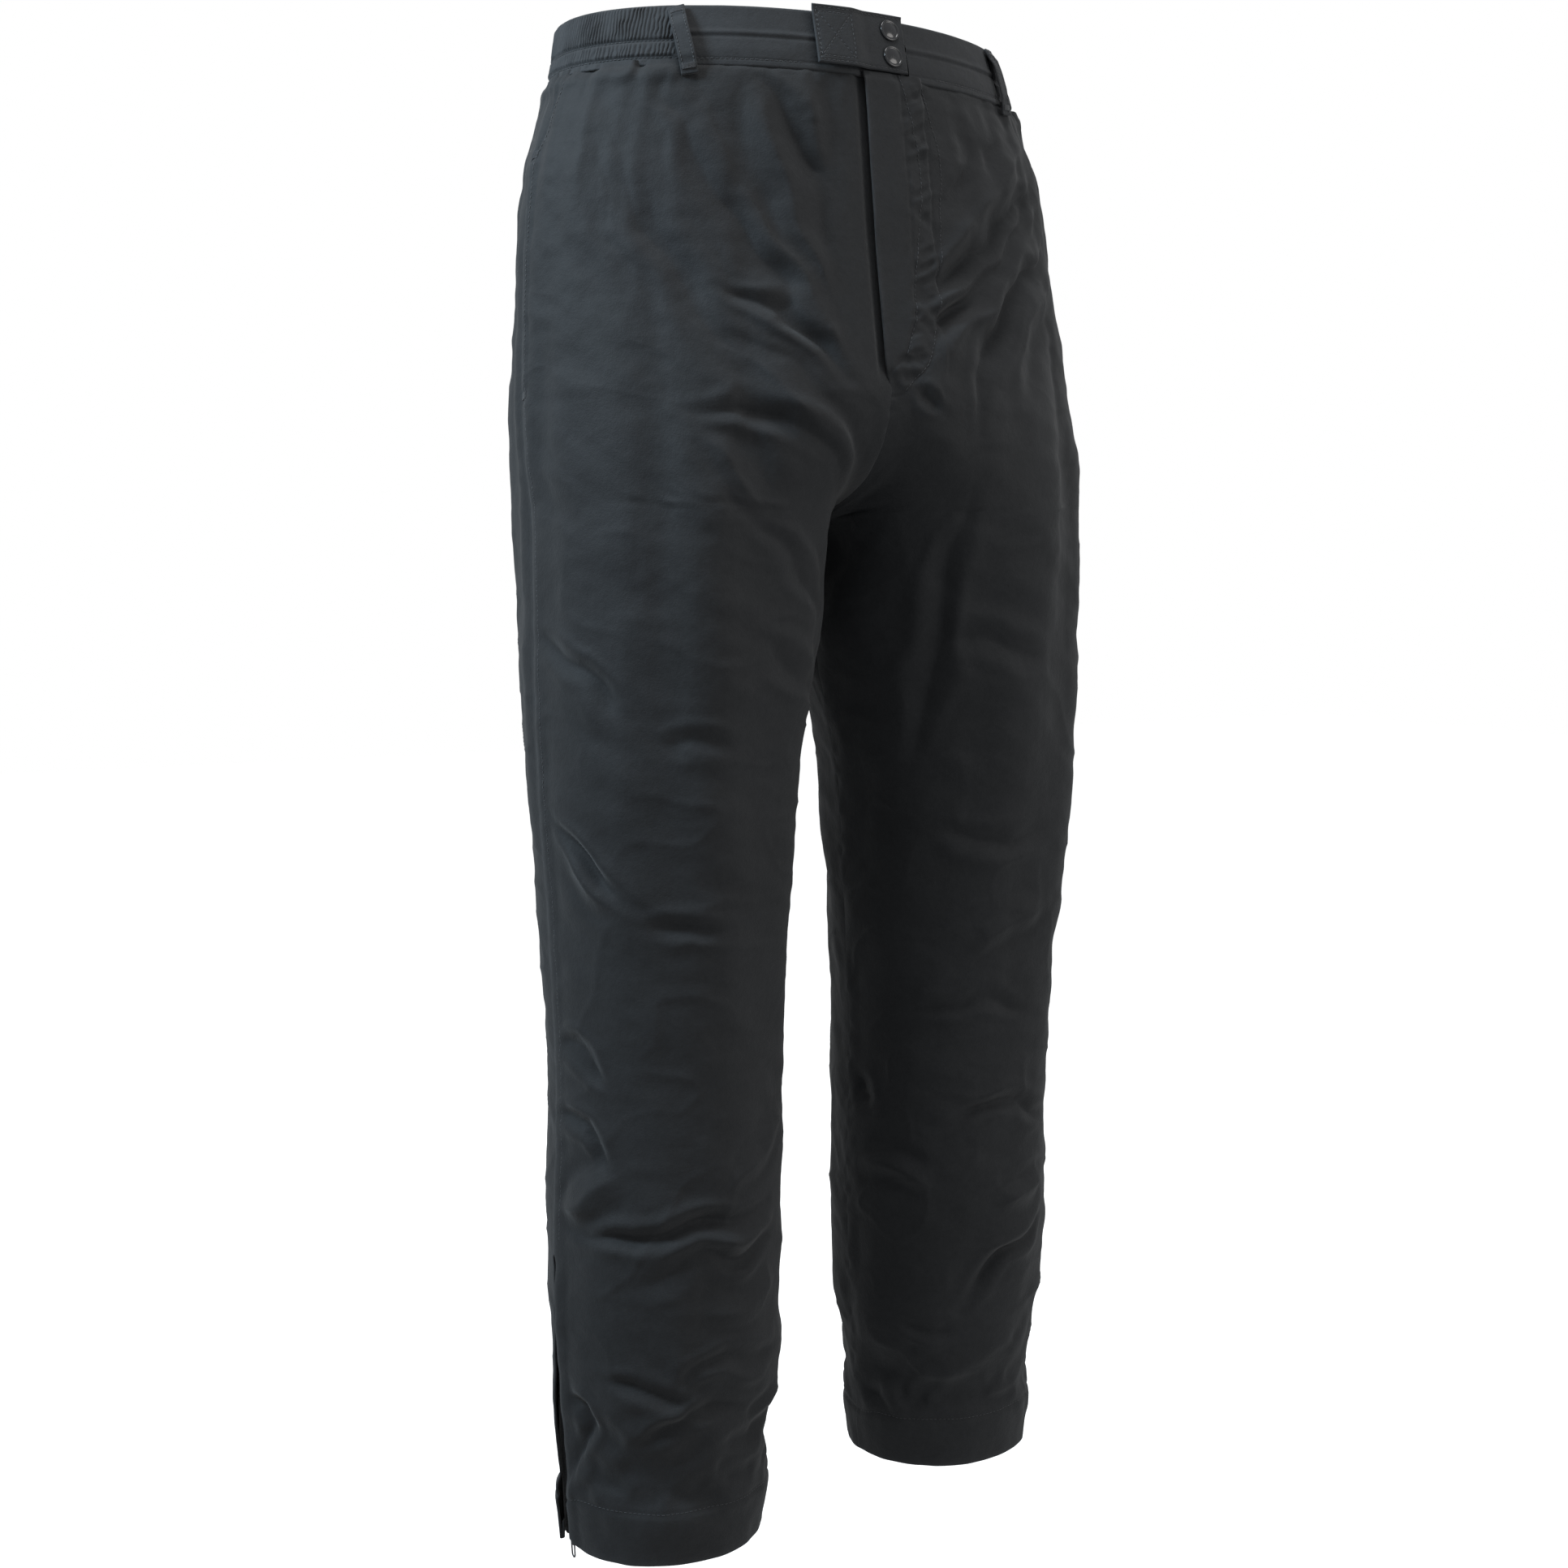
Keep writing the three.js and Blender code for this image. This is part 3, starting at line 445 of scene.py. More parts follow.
def creased_and_gathered(side, u, z, seam, front, fly):
    """The creases, calmed near every seam, and the gathers and puff under the elastic."""
    loose = smooth(seam / 0.014 + fly) * smooth((BAND - z) / 0.010 + 0.1)
    loose = loose * (0.3 + 0.7 * smooth((z - HEM) / 0.045)) * (0.35 + 0.65 * smooth(np.abs(u) / 0.016))
    away = creased(side, u, z) * loose * (1 - 0.75 * fly * smooth((0.040 - front) / 0.012))
    below = np.clip(BAND - z, 0, None)
    elastic = smooth((ELASTIC_REACH - np.abs(u)) / 0.012)
    away = away + gathers(u, below, 31 if side < 0 else 41) * (0.25 + 0.75 * elastic)
    away = away - 1.3 * MM * np.exp(-(below / 0.0022) ** 2) + 1.9 * MM * bell(below - 0.007, 0.006) * elastic
    puckers = lumps(z, seam, 0.0075, 53) * np.exp(-seam / 0.007) * (z < FLY_END - 0.01)
    return away + 0.7 * MM * puckers


def with_fly(away, side, z, front, fly):
    """The left front lies over as a placket, puckered along its stitching; the right is sunk under it."""
    if side < 0:
        return away - FLY_SINK * fly * smooth((0.0115 - front) / 0.006)
    away = away + PLACKET_LIFT * fly * smooth((0.0375 - front) / 0.003)
    beside, along, _ = path_distance(front, z, FLY_STITCHING)
    ripple = 1.5 * lumps(along + 0.55 * front, front * 0.3, 0.0046, 61)
    ripple = ripple + 0.9 * lumps(along - 0.7 * front, front * 0.3 + along * 0.1, 0.0070, 62)
    away = away + MM * (1.25 * ripple - 0.6) * np.exp(-(beside / 0.0088) ** 4)
    return away - 0.8 * MM * bell(beside - 0.0082, 0.0011)


def with_pocket(away, u, z):
    """The front edge of the outseam stands proud, more at the pocket mouth, and a seam runs up from it."""
    mouth = smooth((POCKET_TOP - z) / 0.006) * smooth((z - POCKET_END) / 0.006)
    ahead = smooth((0.002 - u) / 0.002) * smooth((u + 0.011) / 0.004)
    away = away + (0.5 + 1.1 * mouth) * MM * ahead - 0.45 * MM * bell(u - OUTSEAM_STITCHING, 0.0009)
    away = away + 0.45 * MM * lumps(z, u * 0.5, 0.0085, 71) * bell(u + 0.006, 0.006)
    cut, _, _ = path_distance(u, z, POCKET_SEAM)
    return away - 1.5 * MM * bell(cut, 0.0014) + 0.5 * MM * lumps(z, u, 0.006, 72) * bell(cut, 0.005)


def with_hem(away, u, z):
    """The slot's front edge laps over, its back edge flares, and the hem puffs below its stitching."""
    slot = smooth((SLOT_TOP - z) / 0.03)
    away = away + slot * 2.2 * MM * smooth((u + 0.014) / 0.010) * (u < 0)
    flare = smooth((SLOT_TOP - 0.03 - z) / 0.12)
    away = away + flare * HEM_FLARE * smooth((0.032 - u) / 0.030) * (u > 0)
    away = away - 1.2 * MM * bell(z - HEM_STITCHING, 0.0016)
    hem = smooth((HEM_STITCHING + 0.006 - z) / 0.01)
    return away + MM * hem * (0.5 + 0.7 * lumps(u, z * 0.6, 0.011, 81))


def standoff(side, t, z):
    """How far the outer cloth stands off the form at each place."""
    u = from_outseam(t, z)
    front, back = half_round(z) + u, half_round(z) - u
    fly = fly_share(z) * (front < 0.1)
    away = creased_and_gathered(side, u, z, np.minimum(front, back), front, fly)
    return with_hem(with_pocket(with_fly(away, side, z, front, fly), u, z), u, z)


# ---- Settling the cloth ----
# The whole garment is hung once as one sheet of slightly roomy cloth, held at the waist and hems,
# so that it buckles by itself. Only its buckles are kept, and both legs' panels are cut from it.

COARSE_COLUMNS, SETTLE_STEPS, MOST_BUCKLE, DRIFT_WIDTH = 56, 22, 6 * MM, 5
CLOTH_MASS, CLOTH_STRETCH, CLOTH_SHEAR, CLOTH_BENDING, CLOTH_SPARE = 0.22, 14, 5, 0.9, -0.05
coarse_z = np.concatenate([np.linspace(BAND, -0.300, 27), np.linspace(-0.300, CROTCH, 6)[1:],
                           np.linspace(CROTCH, HEM, 72)[1:]])
coarse_t = np.linspace(0, 1, COARSE_COLUMNS + 1)


def link(obj, body):
    bpy.context.collection.objects.link(obj)
    if body:
        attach(obj, body)
    return obj


def grid_quads(rows, columns, first=0):
    i, j = np.meshgrid(np.arange(rows - 1), np.arange(columns - 1), indexing="ij")
    a = (i * columns + j).ravel() + first
    return np.stack([a, a + 1, a + columns + 1, a + columns], axis=1)


def mesh_piece(name, points, faces, material, body="trousers"):
    mesh = bpy.data.meshes.new(name)
    mesh.from_pydata(np.asarray(points, float).reshape(-1, 3).tolist(), [], [list(face) for face in faces])
    mesh.shade_smooth()
    if material:
        mesh.materials.append(material)
    return link(bpy.data.objects.new(name, mesh), body)


def without_drift(moved, width):
    """Takes away what the cloth moved as a whole, leaving its buckles."""
    broad = moved.copy()
    for _ in range(3):
        for axis in (0, 1):
            padding = [(width, width) if k == axis else (0, 0) for k in range(3)]
            walls = np.cumsum(np.pad(broad, padding, mode="edge"), axis=axis)
            count = broad.shape[axis]
            upper = np.take(walls, np.arange(2 * width, 2 * width + count), axis=axis)
            lower = np.take(walls, np.maximum(np.arange(-1, count - 1), 0), axis=axis)
            broad = (upper - lower) / (2 * width)
    return moved - broad


def settle():
    """Hangs both halves as one cloth, welded along their shared edges, and says how each point moved."""
    points, number, index = [], {}, {}
    for name, side in SIDES.items():
        t, z = np.meshgrid(coarse_t, coarse_z)
        place, normal = form(side, t, z)
        place = place + normal * creased(side, from_outseam(t, z), z)[..., None] * 0.5
        grid = np.zeros(t.shape, int)
        for spot, point in zip(np.ndindex(t.shape), place.reshape(-1, 3)):
            edge = spot[1] in (0, COARSE_COLUMNS)
            key = tuple(np.round(form(side, t[spot], z[spot])[0], 4)) if edge else (name, spot)
            if key not in number:
                number[key] = len(points)
                points.append(point)
            grid[spot] = number[key]
        index[name] = grid
    faces = []
    for name, grid in index.items():
        quads = np.stack([grid[:-1, :-1], grid[:-1, 1:], grid[1:, 1:], grid[1:, :-1]], axis=-1).reshape(-1, 4)
        quads = quads if name == "right" else quads[:, ::-1]
        faces += [quad for quad in quads.tolist() if len(set(quad)) == 4]
    cloth = mesh_piece("settling", points, faces, None, body=None)
    held = cloth.vertex_groups.new(name="held")
    start = np.array(points)
    for k, z in enumerate(start[:, 2]):
        grip = max(0.10 + 0.12 * float(smooth((z + 0.30) / 0.1)), 1 - (BAND - z) / 0.03, 0.9 - (z - HEM) / 0.04)
        held.add([k], min(1.0, grip), "REPLACE")
    modifier = cloth.modifiers.new("cloth", "CLOTH")
    settings = modifier.settings
    settings.quality, settings.mass = 5, CLOTH_MASS
    settings.tension_stiffness = settings.compression_stiffness = CLOTH_STRETCH
    settings.shear_stiffness, settings.bending_stiffness = CLOTH_SHEAR, CLOTH_BENDING
    settings.vertex_group_mass, settings.pin_stiffness, settings.shrink_min = "held", 1.0, CLOTH_SPARE
    modifier.point_cache.frame_start, modifier.point_cache.frame_end = 1, SETTLE_STEPS
    for step in range(1, SETTLE_STEPS + 1):
        bpy.context.scene.frame_set(step)
    settled = cloth.evaluated_get(bpy.context.evaluated_depsgraph_get()).data
    ends = np.empty(len(settled.vertices) * 3)
    settled.vertices.foreach_get("co", ends)
    moved = ends.reshape(-1, 3) - start
    bpy.context.scene.frame_set(1)
    bpy.data.objects.remove(cloth)
    return {name: moved[grid] for name, grid in index.items()}


buckles = {}
for name, moved in settle().items():
    kept = without_drift(moved, DRIFT_WIDTH)
    size = np.linalg.norm(kept, axis=-1, keepdims=True)
    buckles[name] = kept * np.minimum(1, MOST_BUCKLE / np.maximum(size, 1e-9))


def spline_at(s):
    """Shares of four neighbours in a smooth curve through the middle two."""
    return [-s / 2 + s ** 2 - s ** 3 / 2, 1 - 2.5 * s ** 2 + 1.5 * s ** 3,
            s / 2 + 2 * s ** 2 - 1.5 * s ** 3, -s ** 2 / 2 + s ** 3 / 2]


def buckle(side, t, z):
    """The settled cloth's movement at any places of a half."""
    moved = buckles["right" if side < 0 else "left"]
    row = np.interp(-z, -coarse_z, np.arange(len(coarse_z)))
    column = np.clip(t, 0, 1) * COARSE_COLUMNS
    i, j = np.minimum(row.astype(int), len(coarse_z) - 2), np.minimum(column.astype(int), COARSE_COLUMNS - 1)
    total = 0
    row_share, column_share = spline_at(row - i), spline_at(column - j)
    for a in range(4):
        for b in range(4):
            ia, jb = np.clip(i + a - 1, 0, len(coarse_z) - 1), np.clip(j + b - 1, 0, COARSE_COLUMNS)
            total = total + moved[ia, jb] * (row_share[a] * column_share[b])[..., None]
    return total


def skin(side, t, z, lift=0.0):
    """Points of the outer cloth, lifted this far off it, and their level outward normals."""
    t, z = np.broadcast_arrays(np.asarray(t, float), np.asarray(z, float))
    place, normal = form(side, t, z)
    place = place + normal * (standoff(side, t, z) + lift)[..., None]
    if buckles:
        from_side = np.abs(from_outseam(t, z))
        free = (0.25 + 0.75 * smooth((-0.16 - z) / 0.16)) * smooth((BAND - z) / 0.02) * smooth((z - HEM) / 0.04)
        free = free * smooth(from_side / 0.02 + 0.2) * smooth((half_round(z) - from_side) / 0.03)
        place = place + buckle(side, t, z) * free[..., None]
    return place, normal


# ---- Leg panels ----
# Four long panels of brushed taslan nylon over thin wadding, sewn at the centre, inseams and outseams.
# Every edge is rolled under, and the front edge of each outseam is topstitched.

UPPER_ROWS, LOWER_ROWS, PANEL_COLUMNS, FINE_ROWS_END = 216, 368, 160, -0.270
ROLL, TUCK, TURN_DEGREES = 0.9 * MM, 4 * MM, (30, 60, 90, 125, 160, 180)
TURN_COLUMNS = len(TURN_DEGREES) + 1
SLOT_GAP, HEM_DIP, PANEL_CUT = {"front": 1.5, "back": 5.4}, 5 * MM, {"front": 0.300, "back": 0.310}
panel_z = np.concatenate([np.linspace(BAND, FINE_ROWS_END, UPPER_ROWS),
                          np.linspace(FINE_ROWS_END, HEM, LOWER_ROWS)[1:]])


def yarn_coords(shade):
    return shade.node("TexCoord", output="Object")


def nylon_finish(name, dark, light, roughness):
    fixed = {"Sheen Weight": 0.12, "Sheen Roughness": 0.5, "Specular IOR Level": 0.20}
    material, shader, shade = finish(name, fixed, dark)
    at = yarn_coords(shade)
    slub = shade.node("TexNoise", None, {"Vector": at, "Scale": 1500.0, "Detail": 2.0})
    crush = shade.node("TexNoise", None, {"Vector": at, "Scale": 230.0, "Detail": 4.0, "Roughness": 0.62})
    weave = shade.node("TexVoronoi", {"feature": "F1"}, {"Vector": at, "Scale": 900.0})
    patches = shade.node("TexNoise", None, {"Vector": at, "Scale": 13.0, "Detail": 4.0})
    worn = shade.node("Attribute", {"attribute_name": "wear"}, output="Fac")
    mottle = (patches * 0.45 + crush * 0.4 + slub * 0.3 - 0.12).ramp((0.25, 0.0), (0.75, 1.0))
    colour = mottle.mix((*dark, 1), (*light, 1))
    faded = tuple(min(1.0, c * 1.55 + 0.006) for c in light)
    colour = (worn * (0.45 + crush * 0.6)).mix(colour, (*faded, 1))
    relief = crush.bump(0.0011, 0.32, under=weave.bump(0.00022, 0.35))
    feed(shader, Base_Color=colour, Roughness=roughness + 0.12 * slub + 0.10 * patches + 0.06 * worn,
         Normal=slub.bump(0.00016, 0.4, under=relief))
    return material


shell_nylon = nylon_finish("shell_nylon", (0.0155, 0.0165, 0.0180), (0.0285, 0.0300, 0.0325), 0.58)


def turned(edge, normal, outward, radius, tuck):
    """TURN_COLUMNS columns that roll an edge under and run back behind it."""
    rolled = [edge + outward * radius * math.sin(a) - normal * radius * (1 - math.cos(a))
              for a in np.radians(TURN_DEGREES)]
    return rolled + [rolled[-1] - outward * tuck - normal * 0.2 * MM]


def unit(v):
    return v / np.maximum(np.linalg.norm(v, axis=-1, keepdims=True), 1e-12)


def sheet_piece(name, rows, side, material, wear=None, body="trousers"):
    """A piece from an array of points, rows from top to bottom, facing outward on that side."""
    rows = np.asarray(rows)
    quads = grid_quads(*rows.shape[:2])
    piece = mesh_piece(name, rows, quads[:, ::-1] if side > 0 else quads, material, body)
    if wear is not None:
        worn = piece.data.attributes.new("wear", "FLOAT", "POINT")
        worn.data.foreach_set("value", np.ravel(wear).astype("f"))
    return piece


def stands_for(piece, node, slot, flat=None, held="hung", **cut):
    """Hides the CAD node that a piece replaces; its finish, hold and cut size are not used."""
    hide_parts(node)
    return piece


def opening(z, part):
    """How far a panel's edge stays from the outseam line: at the pocket mouth and the hem slot."""
    mouth = smooth((POCKET_TOP - z) / 0.012) * smooth((z - POCKET_END) / 0.012)
    slot = smooth((SLOT_TOP + 0.005 - z) / 0.008)
    return MM * (mouth + SLOT_GAP[part] * slot + 0.05)


def panel_wear(grid):
    """Rubbing along the rolled side edges, in patches, and along the foot of the hem."""
    columns, height = np.arange(grid.shape[1]), grid[..., 2]
    edge = np.minimum(columns, columns[::-1]) - TURN_COLUMNS
    rubbed = 0.4 + 0.6 * (lumps(height, edge[None] * 0.01, 0.012, 91) > 0)
    wear = 0.55 * np.exp(-np.maximum(edge, 0) / 1.2) * rubbed
    return wear + 0.6 * np.exp(-np.maximum(height - HEM, 0) / 0.0025)


def flat_tail(edge, across, normal, under, rolled):
    """The right front's edge, which isn't rolled at the fly but runs on flat under the placket."""
    tail = [edge + across * 7.5 * MM * k / TURN_COLUMNS - normal * 0.9 * MM * (k / TURN_COLUMNS)
            for k in range(1, TURN_COLUMNS + 1)]
    return [roll * (1 - under) + flat * under for roll, flat in zip(rolled, tail)]


def leg_panel(side, part):
    name = "right" if side < 0 else "left"
    z = panel_z[:, None]
    share = np.linspace(0, 1, PANEL_COLUMNS)
    if part == "front":
        share = np.interp(share, [0, 0.26, 1], [0, 0.16, 1])
        first = FLY_EDGE * fly_share(z) / (2 * half_round(z)) if side > 0 else 0 * z
        t = first + (at_outseam(-opening(z, part), z) - first) * share
    else:
        first = at_outseam(opening(z, part), z)
        t = first + (1 - first) * share
    z = z + 0 * t
    u = from_outseam(t, z)
    z = z + HEM_DIP * bell(u, 0.009) * smooth((HEM + 0.03 - z) / 0.03)
    points, normals = skin(side, t, z)
    start = turned(points[:, 0], normals[:, 0], unit(points[:, 0] - points[:, 2]), ROLL, TUCK)
    if part == "front" and side < 0:
        across = unit(points[:, 0] - points[:, 2])
        start = flat_tail(points[:, 0], across, normals[:, 0], fly_share(panel_z)[:, None], start)
    end = turned(points[:, -1], normals[:, -1], unit(points[:, -1] - points[:, -3]), ROLL, TUCK)
    grid = np.concatenate([np.stack(start[::-1], 1), points, np.stack(end, 1)], axis=1)
    facing = np.pad(normals, ((0, 0), (TURN_COLUMNS, TURN_COLUMNS), (0, 0)), mode="edge")
    tuck = grid[:1] + np.array((0, 0, 2.5 * MM)) - facing[:1] * 1.2 * MM
    hem = turned(grid[-1], facing[-1], np.array((0, 0, -1.0)), ROLL, 3 * TUCK)
    grid = np.concatenate([tuck, grid, np.stack(hem)], axis=0)
    piece = sheet_piece(f"shell_{part}_{name}", grid, side, shell_nylon, panel_wear(grid))
    stands_for(piece, f"{part}_panel_{name}", "shell_nylon", (0.345, 1.035), area=PANEL_CUT[part])


for side in SIDES.values():
    for part in ("front", "back"):
        leg_panel(side, part)

# ---- Thread ----
# Topstitching and bar tacks in thick dark polyester thread, each stitch a short bent length of it
# whose ends go down into the cloth.

STITCH, STITCH_GAP, THREAD, THREAD_SIDES = 2.5 * MM, 0.8 * MM, 0.23 * MM, 6
STITCH_BEND = ((0, -0.30, 0.7), (0.16, 0.05, 1), (0.5, 0.16, 1), (0.84, 0.05, 1), (1, -0.30, 0.7))
TACK_THREADS, TACK_PITCH, FLY_ROWS_APART = 9, 0.55 * MM, 0.0078


def one_texture(name, fixed, colours, kind, texture, roughness, relief, settings=None):
    """A finish whose colour, roughness and relief all follow one texture."""
    middle, low, high = colours
    material, shader, shade = finish(name, fixed, middle)
    pattern = shade.node(kind, settings, {"Vector": yarn_coords(shade), **texture})
    feed(shader, Base_Color=pattern.mix((*low, 1), (*high, 1)), Roughness=roughness[0] + pattern * roughness[1],
         Normal=pattern.bump(*relief))
    return material


thread_black = one_texture("thread", {"Sheen Weight": 0.3},
                           ((0.028, 0.030, 0.034), (0.018, 0.019, 0.022), (0.052, 0.055, 0.062)),
                           "TexNoise", {"Scale": 2600.0, "Detail": 1.0}, (0.45, 0.2), (0.0001, 0.5))


def run_of_stitches(points, normals, pitch=STITCH + STITCH_GAP, length=STITCH):
    """Stitches in a row along a line: their starts, ends and normals."""
    walked = np.concatenate([[0], np.cumsum(np.linalg.norm(np.diff(points, axis=0), axis=1))])
    starts = np.arange(pitch / 2, walked[-1] - length, pitch)

    def at(values, where):
        return np.stack([np.interp(where, walked, values[:, k]) for k in range(3)], axis=1)

    return at(points, starts), at(points, starts + length), unit(at(normals, starts))


def tube_faces(rings, around, closed=False, capped=False):
    """Faces between rings of points; a closed tube joins its last ring to its first."""
    faces = []
    for r in range(rings if closed else rings - 1):
        above = (r + 1) % rings
        for k in range(around):
            after = (k + 1) % around
            faces.append((r * around + k, r * around + after, above * around + after, above * around + k))
    if capped:
        faces += [tuple(range(around))[::-1], tuple((rings - 1) * around + k for k in range(around))]
    return faces


def threads(name, runs, body="trousers"):
    """One piece of many stitches, each a tube of a few rings that bows out of the cloth."""
    a, b, n = (np.concatenate([run[k] for run in runs]) for k in range(3))
    along = unit(b - a)
    across = unit(np.cross(along, n))
    turns = np.arange(THREAD_SIDES) / THREAD_SIDES * 2 * np.pi
    rings = []
    for place, height, size in STITCH_BEND:
        middle = a + (b - a) * place + n * height * MM
        ring_points = [middle + size * THREAD * (across * math.cos(w) + n * math.sin(w)) for w in turns]
        rings.append(np.stack(ring_points, 1))
    points = np.stack(rings, 1)
    one = tube_faces(len(rings), THREAD_SIDES)
    faces = [[v + s * len(rings) * THREAD_SIDES for v in face] for s in range(len(a)) for face in one]
    piece = mesh_piece(name, points, faces, thread_black, body)
    return piece


def line_on_skin(side, line, lift=0.1 * MM, steps=220):
    """A line over the cloth from (distance from the outseam, height) pairs."""
    line = np.array(line)
    where = np.linspace(0, len(line) - 1, steps)
    u, z = (np.interp(where, np.arange(len(line)), line[:, k]) for k in (0, 1))
    return skin(side, at_outseam(u, z), z, lift)


def bar_tack(side, z):
    """Close parallel threads laid across the outseam."""
    laid = []
    for k in range(TACK_THREADS):
        at_z = z + (k - 4) * TACK_PITCH
        ends, normals = skin(side, at_outseam(np.array([-0.0085, 0.0015]), at_z), at_z, 0.35 * MM)
        laid.append((ends[:1], ends[1:], normals[:1]))
    return laid


def hooked_rows(side):
    """The two rows of stitching that hold the placket, one on each side of its hooked line."""
    course = unit(np.gradient(np.array(FLY_STITCHING), axis=0))
    rows = []
    for offset in (-FLY_ROWS_APART, FLY_ROWS_APART):
        line = np.array(FLY_STITCHING) + offset * np.stack([-course[:, 1], course[:, 0]], 1)
        line = [(x - float(half_round(np.array(z))), z) for x, z in line if x > 0.002]
        rows.append(run_of_stitches(*line_on_skin(side, line, 0.15 * MM, 400)))
    return rows


for name, side in SIDES.items():
    outseam = [(OUTSEAM_STITCHING, POCKET_TOP), (OUTSEAM_STITCHING, SLOT_TOP + 0.01)]
    above_pocket = [(-0.027, BAND - 0.006), (-0.0245, -0.060), (-0.0155, -0.085), outseam[0]]
    runs = [run_of_stitches(*line_on_skin(side, outseam, steps=900)),
            run_of_stitches(*line_on_skin(side, above_pocket))]
    span = float(half_round(np.array(HEM_STITCHING))) - 0.004
    for ends in ((-span, -0.006), (0.008, span)):
        runs.append(run_of_stitches(*line_on_skin(side, [(u, HEM_STITCHING) for u in ends], steps=500)))
    tacks = bar_tack(side, POCKET_TOP + 0.001) + bar_tack(side, POCKET_END - 0.001)
    threads(f"topstitching_{name}", runs + tacks)
threads("fly_topstitching", hooked_rows(SIDES["left"]))

# ---- Linings, hem facings and pocket bags ----
# Plain black taffeta hangs inside the legs down to a nylon facing at each hem. Each hand pocket is two
# taffeta cloths laid together between the shell and the wearer, open at the slit in the outseam.

LINING_DEPTH, FACING_DEPTH, POCKET_DEPTH = 6.2 * MM, 5.2 * MM, 8.9 * MM
LINING_ENDS, FACING_ENDS = (-0.0445, -0.835), (-0.838, -1.0485)
POCKET_ENDS, POCKET_ACROSS, POCKET_MIDDLE = (-0.086, -0.300), (-0.078, 0.008), (-0.035, -0.193)
taffeta_fixed = {"Sheen Weight": 0.15, "Specular IOR Level": 0.4}
taffeta, taffeta_shader, taffeta_shade = finish("lining_taffeta", taffeta_fixed, (0.016, 0.017, 0.019))
at = yarn_coords(taffeta_shade)
rib = taffeta_shade.node("TexNoise", None, {"Vector": at, "Scale": 1900.0, "Detail": 1.0})
slack = taffeta_shade.node("TexNoise", None, {"Vector": at, "Scale": 26.0, "Detail": 3.0})
cast = (rib * 0.4 + slack * 0.6).mix((0.012, 0.013, 0.015, 1), (0.027, 0.028, 0.031, 1))
feed(taffeta_shader, Base_Color=cast, Roughness=0.34 + rib * 0.15,
     Normal=slack.bump(0.004, 0.5, under=rib.bump(0.00015, 0.3)))


def inner_sheet(name, side, t, z, depth, material, sway=0.8):
    """A thin cloth that follows the shell on the inside at this depth."""
    t, z = np.broadcast_arrays(t, z)
    loose = sway * MM * lumps(from_outseam(t, z), z, 0.022, 101)
    points, _ = skin(side, t, z, -depth - np.abs(loose))
    return sheet_piece(name, points, side, material)


for name, side in SIDES.items():
    z = np.linspace(*LINING_ENDS, 260)[:, None]
    t = np.linspace(0.001, 0.999, 190)[None]
    piece = inner_sheet(f"lining_cloth_{name}", side, t, z, LINING_DEPTH, taffeta, sway=1.6)
    stands_for(piece, f"lining_{name}", "lining_taffeta", (0.66, 0.80), area=0.50)
    z = np.linspace(*FACING_ENDS, 80)[:, None]
    for part, first, last in (("front", 0.002, 0.46), ("back", 0.54, 0.998)):
        t = np.linspace(first, last, 70)[None]
        piece = inner_sheet(f"hem_facing_cloth_{part}_{name}", side, t, z, FACING_DEPTH, shell_nylon)
        stands_for(piece, f"hem_facing_{part}_{name}", "shell_nylon", (0.22, 0.212))
    u = np.linspace(*POCKET_ACROSS, 44)[None]
    z = np.linspace(*POCKET_ENDS, 90)[:, None]
    t = at_outseam(u, z)
    off_u, off_z = np.abs(u - POCKET_MIDDLE[0]), np.abs(z - POCKET_MIDDLE[1])
    swell = smooth((0.043 - off_u) / 0.012) * smooth((0.107 - off_z) / 0.02)
    outer, _ = skin(side, t, z, -POCKET_DEPTH - 0.4 * MM * swell)
    inner, _ = skin(side, t, z, -POCKET_DEPTH - (7.5 + 3 * lumps(u, z, 0.03, 103)) * MM * swell - 0.3 * MM)
    for layer, points in (("outer", outer), ("inner", inner)):
        piece = sheet_piece(f"pocket_{layer}_{name}", points, side, taffeta)
        stands_for(piece, f"pocket_bag_{layer}_{name}", "lining_taffeta", (0.087, 0.214))

# ---- Waistband ----
# A folded nylon band: flat across the front and back, and at each side a casing gathered onto wide
# elastic, stitched through along its length into an upper and a lower channel.

LOOP_AT, BACK_LOOP_AT, RIB, BAND_FOLDED = 0.256, 0.76, 2.9 * MM, 3.1
FLAT_STITCHING, ELASTIC_STITCHING = -0.0365, (-0.0241, -0.0358)
band_nylon = nylon_finish("band_nylon", (0.0225, 0.0240, 0.0262), (0.0405, 0.0430, 0.0470), 0.6)


def elastic_relief(u, z):
    """Gathers in two channels, with tight valleys where the stitching holds them down."""
    down = -z
    wobble = 0.55 * lumps(u, z * 0.3, 0.009, 111) + 0.25 * lumps(u, z, 0.004, 112)
    upper = np.abs(np.cos(np.pi * (u / RIB + wobble)))
    lower = np.abs(np.cos(np.pi * (u / (RIB * 1.15) + 1.3 * wobble + 0.4)))
    first = smooth((down + 0.001) / 0.003) * smooth((0.0235 - down) / 0.002)
    second = smooth((down - 0.0245) / 0.002) * smooth((0.0350 - down) / 0.002)
    vary = 0.75 + 0.5 * lumps(u, z, 0.012, 113)
    relief = first * (1.25 * upper * vary + 0.7 * np.sin(np.pi * np.clip(down / 0.024, 0, 1)))
    relief = relief + second * (0.85 * lower * vary + 0.5)
    relief = relief - 0.9 * bell(down - 0.0241, 0.0010) - 0.7 * bell(down - 0.0358, 0.0010)
    foot = smooth((down - 0.0355) / 0.0015)
    return MM * (relief + foot * 0.7 * lumps(u, z, 0.0042, 114) - 0.5)


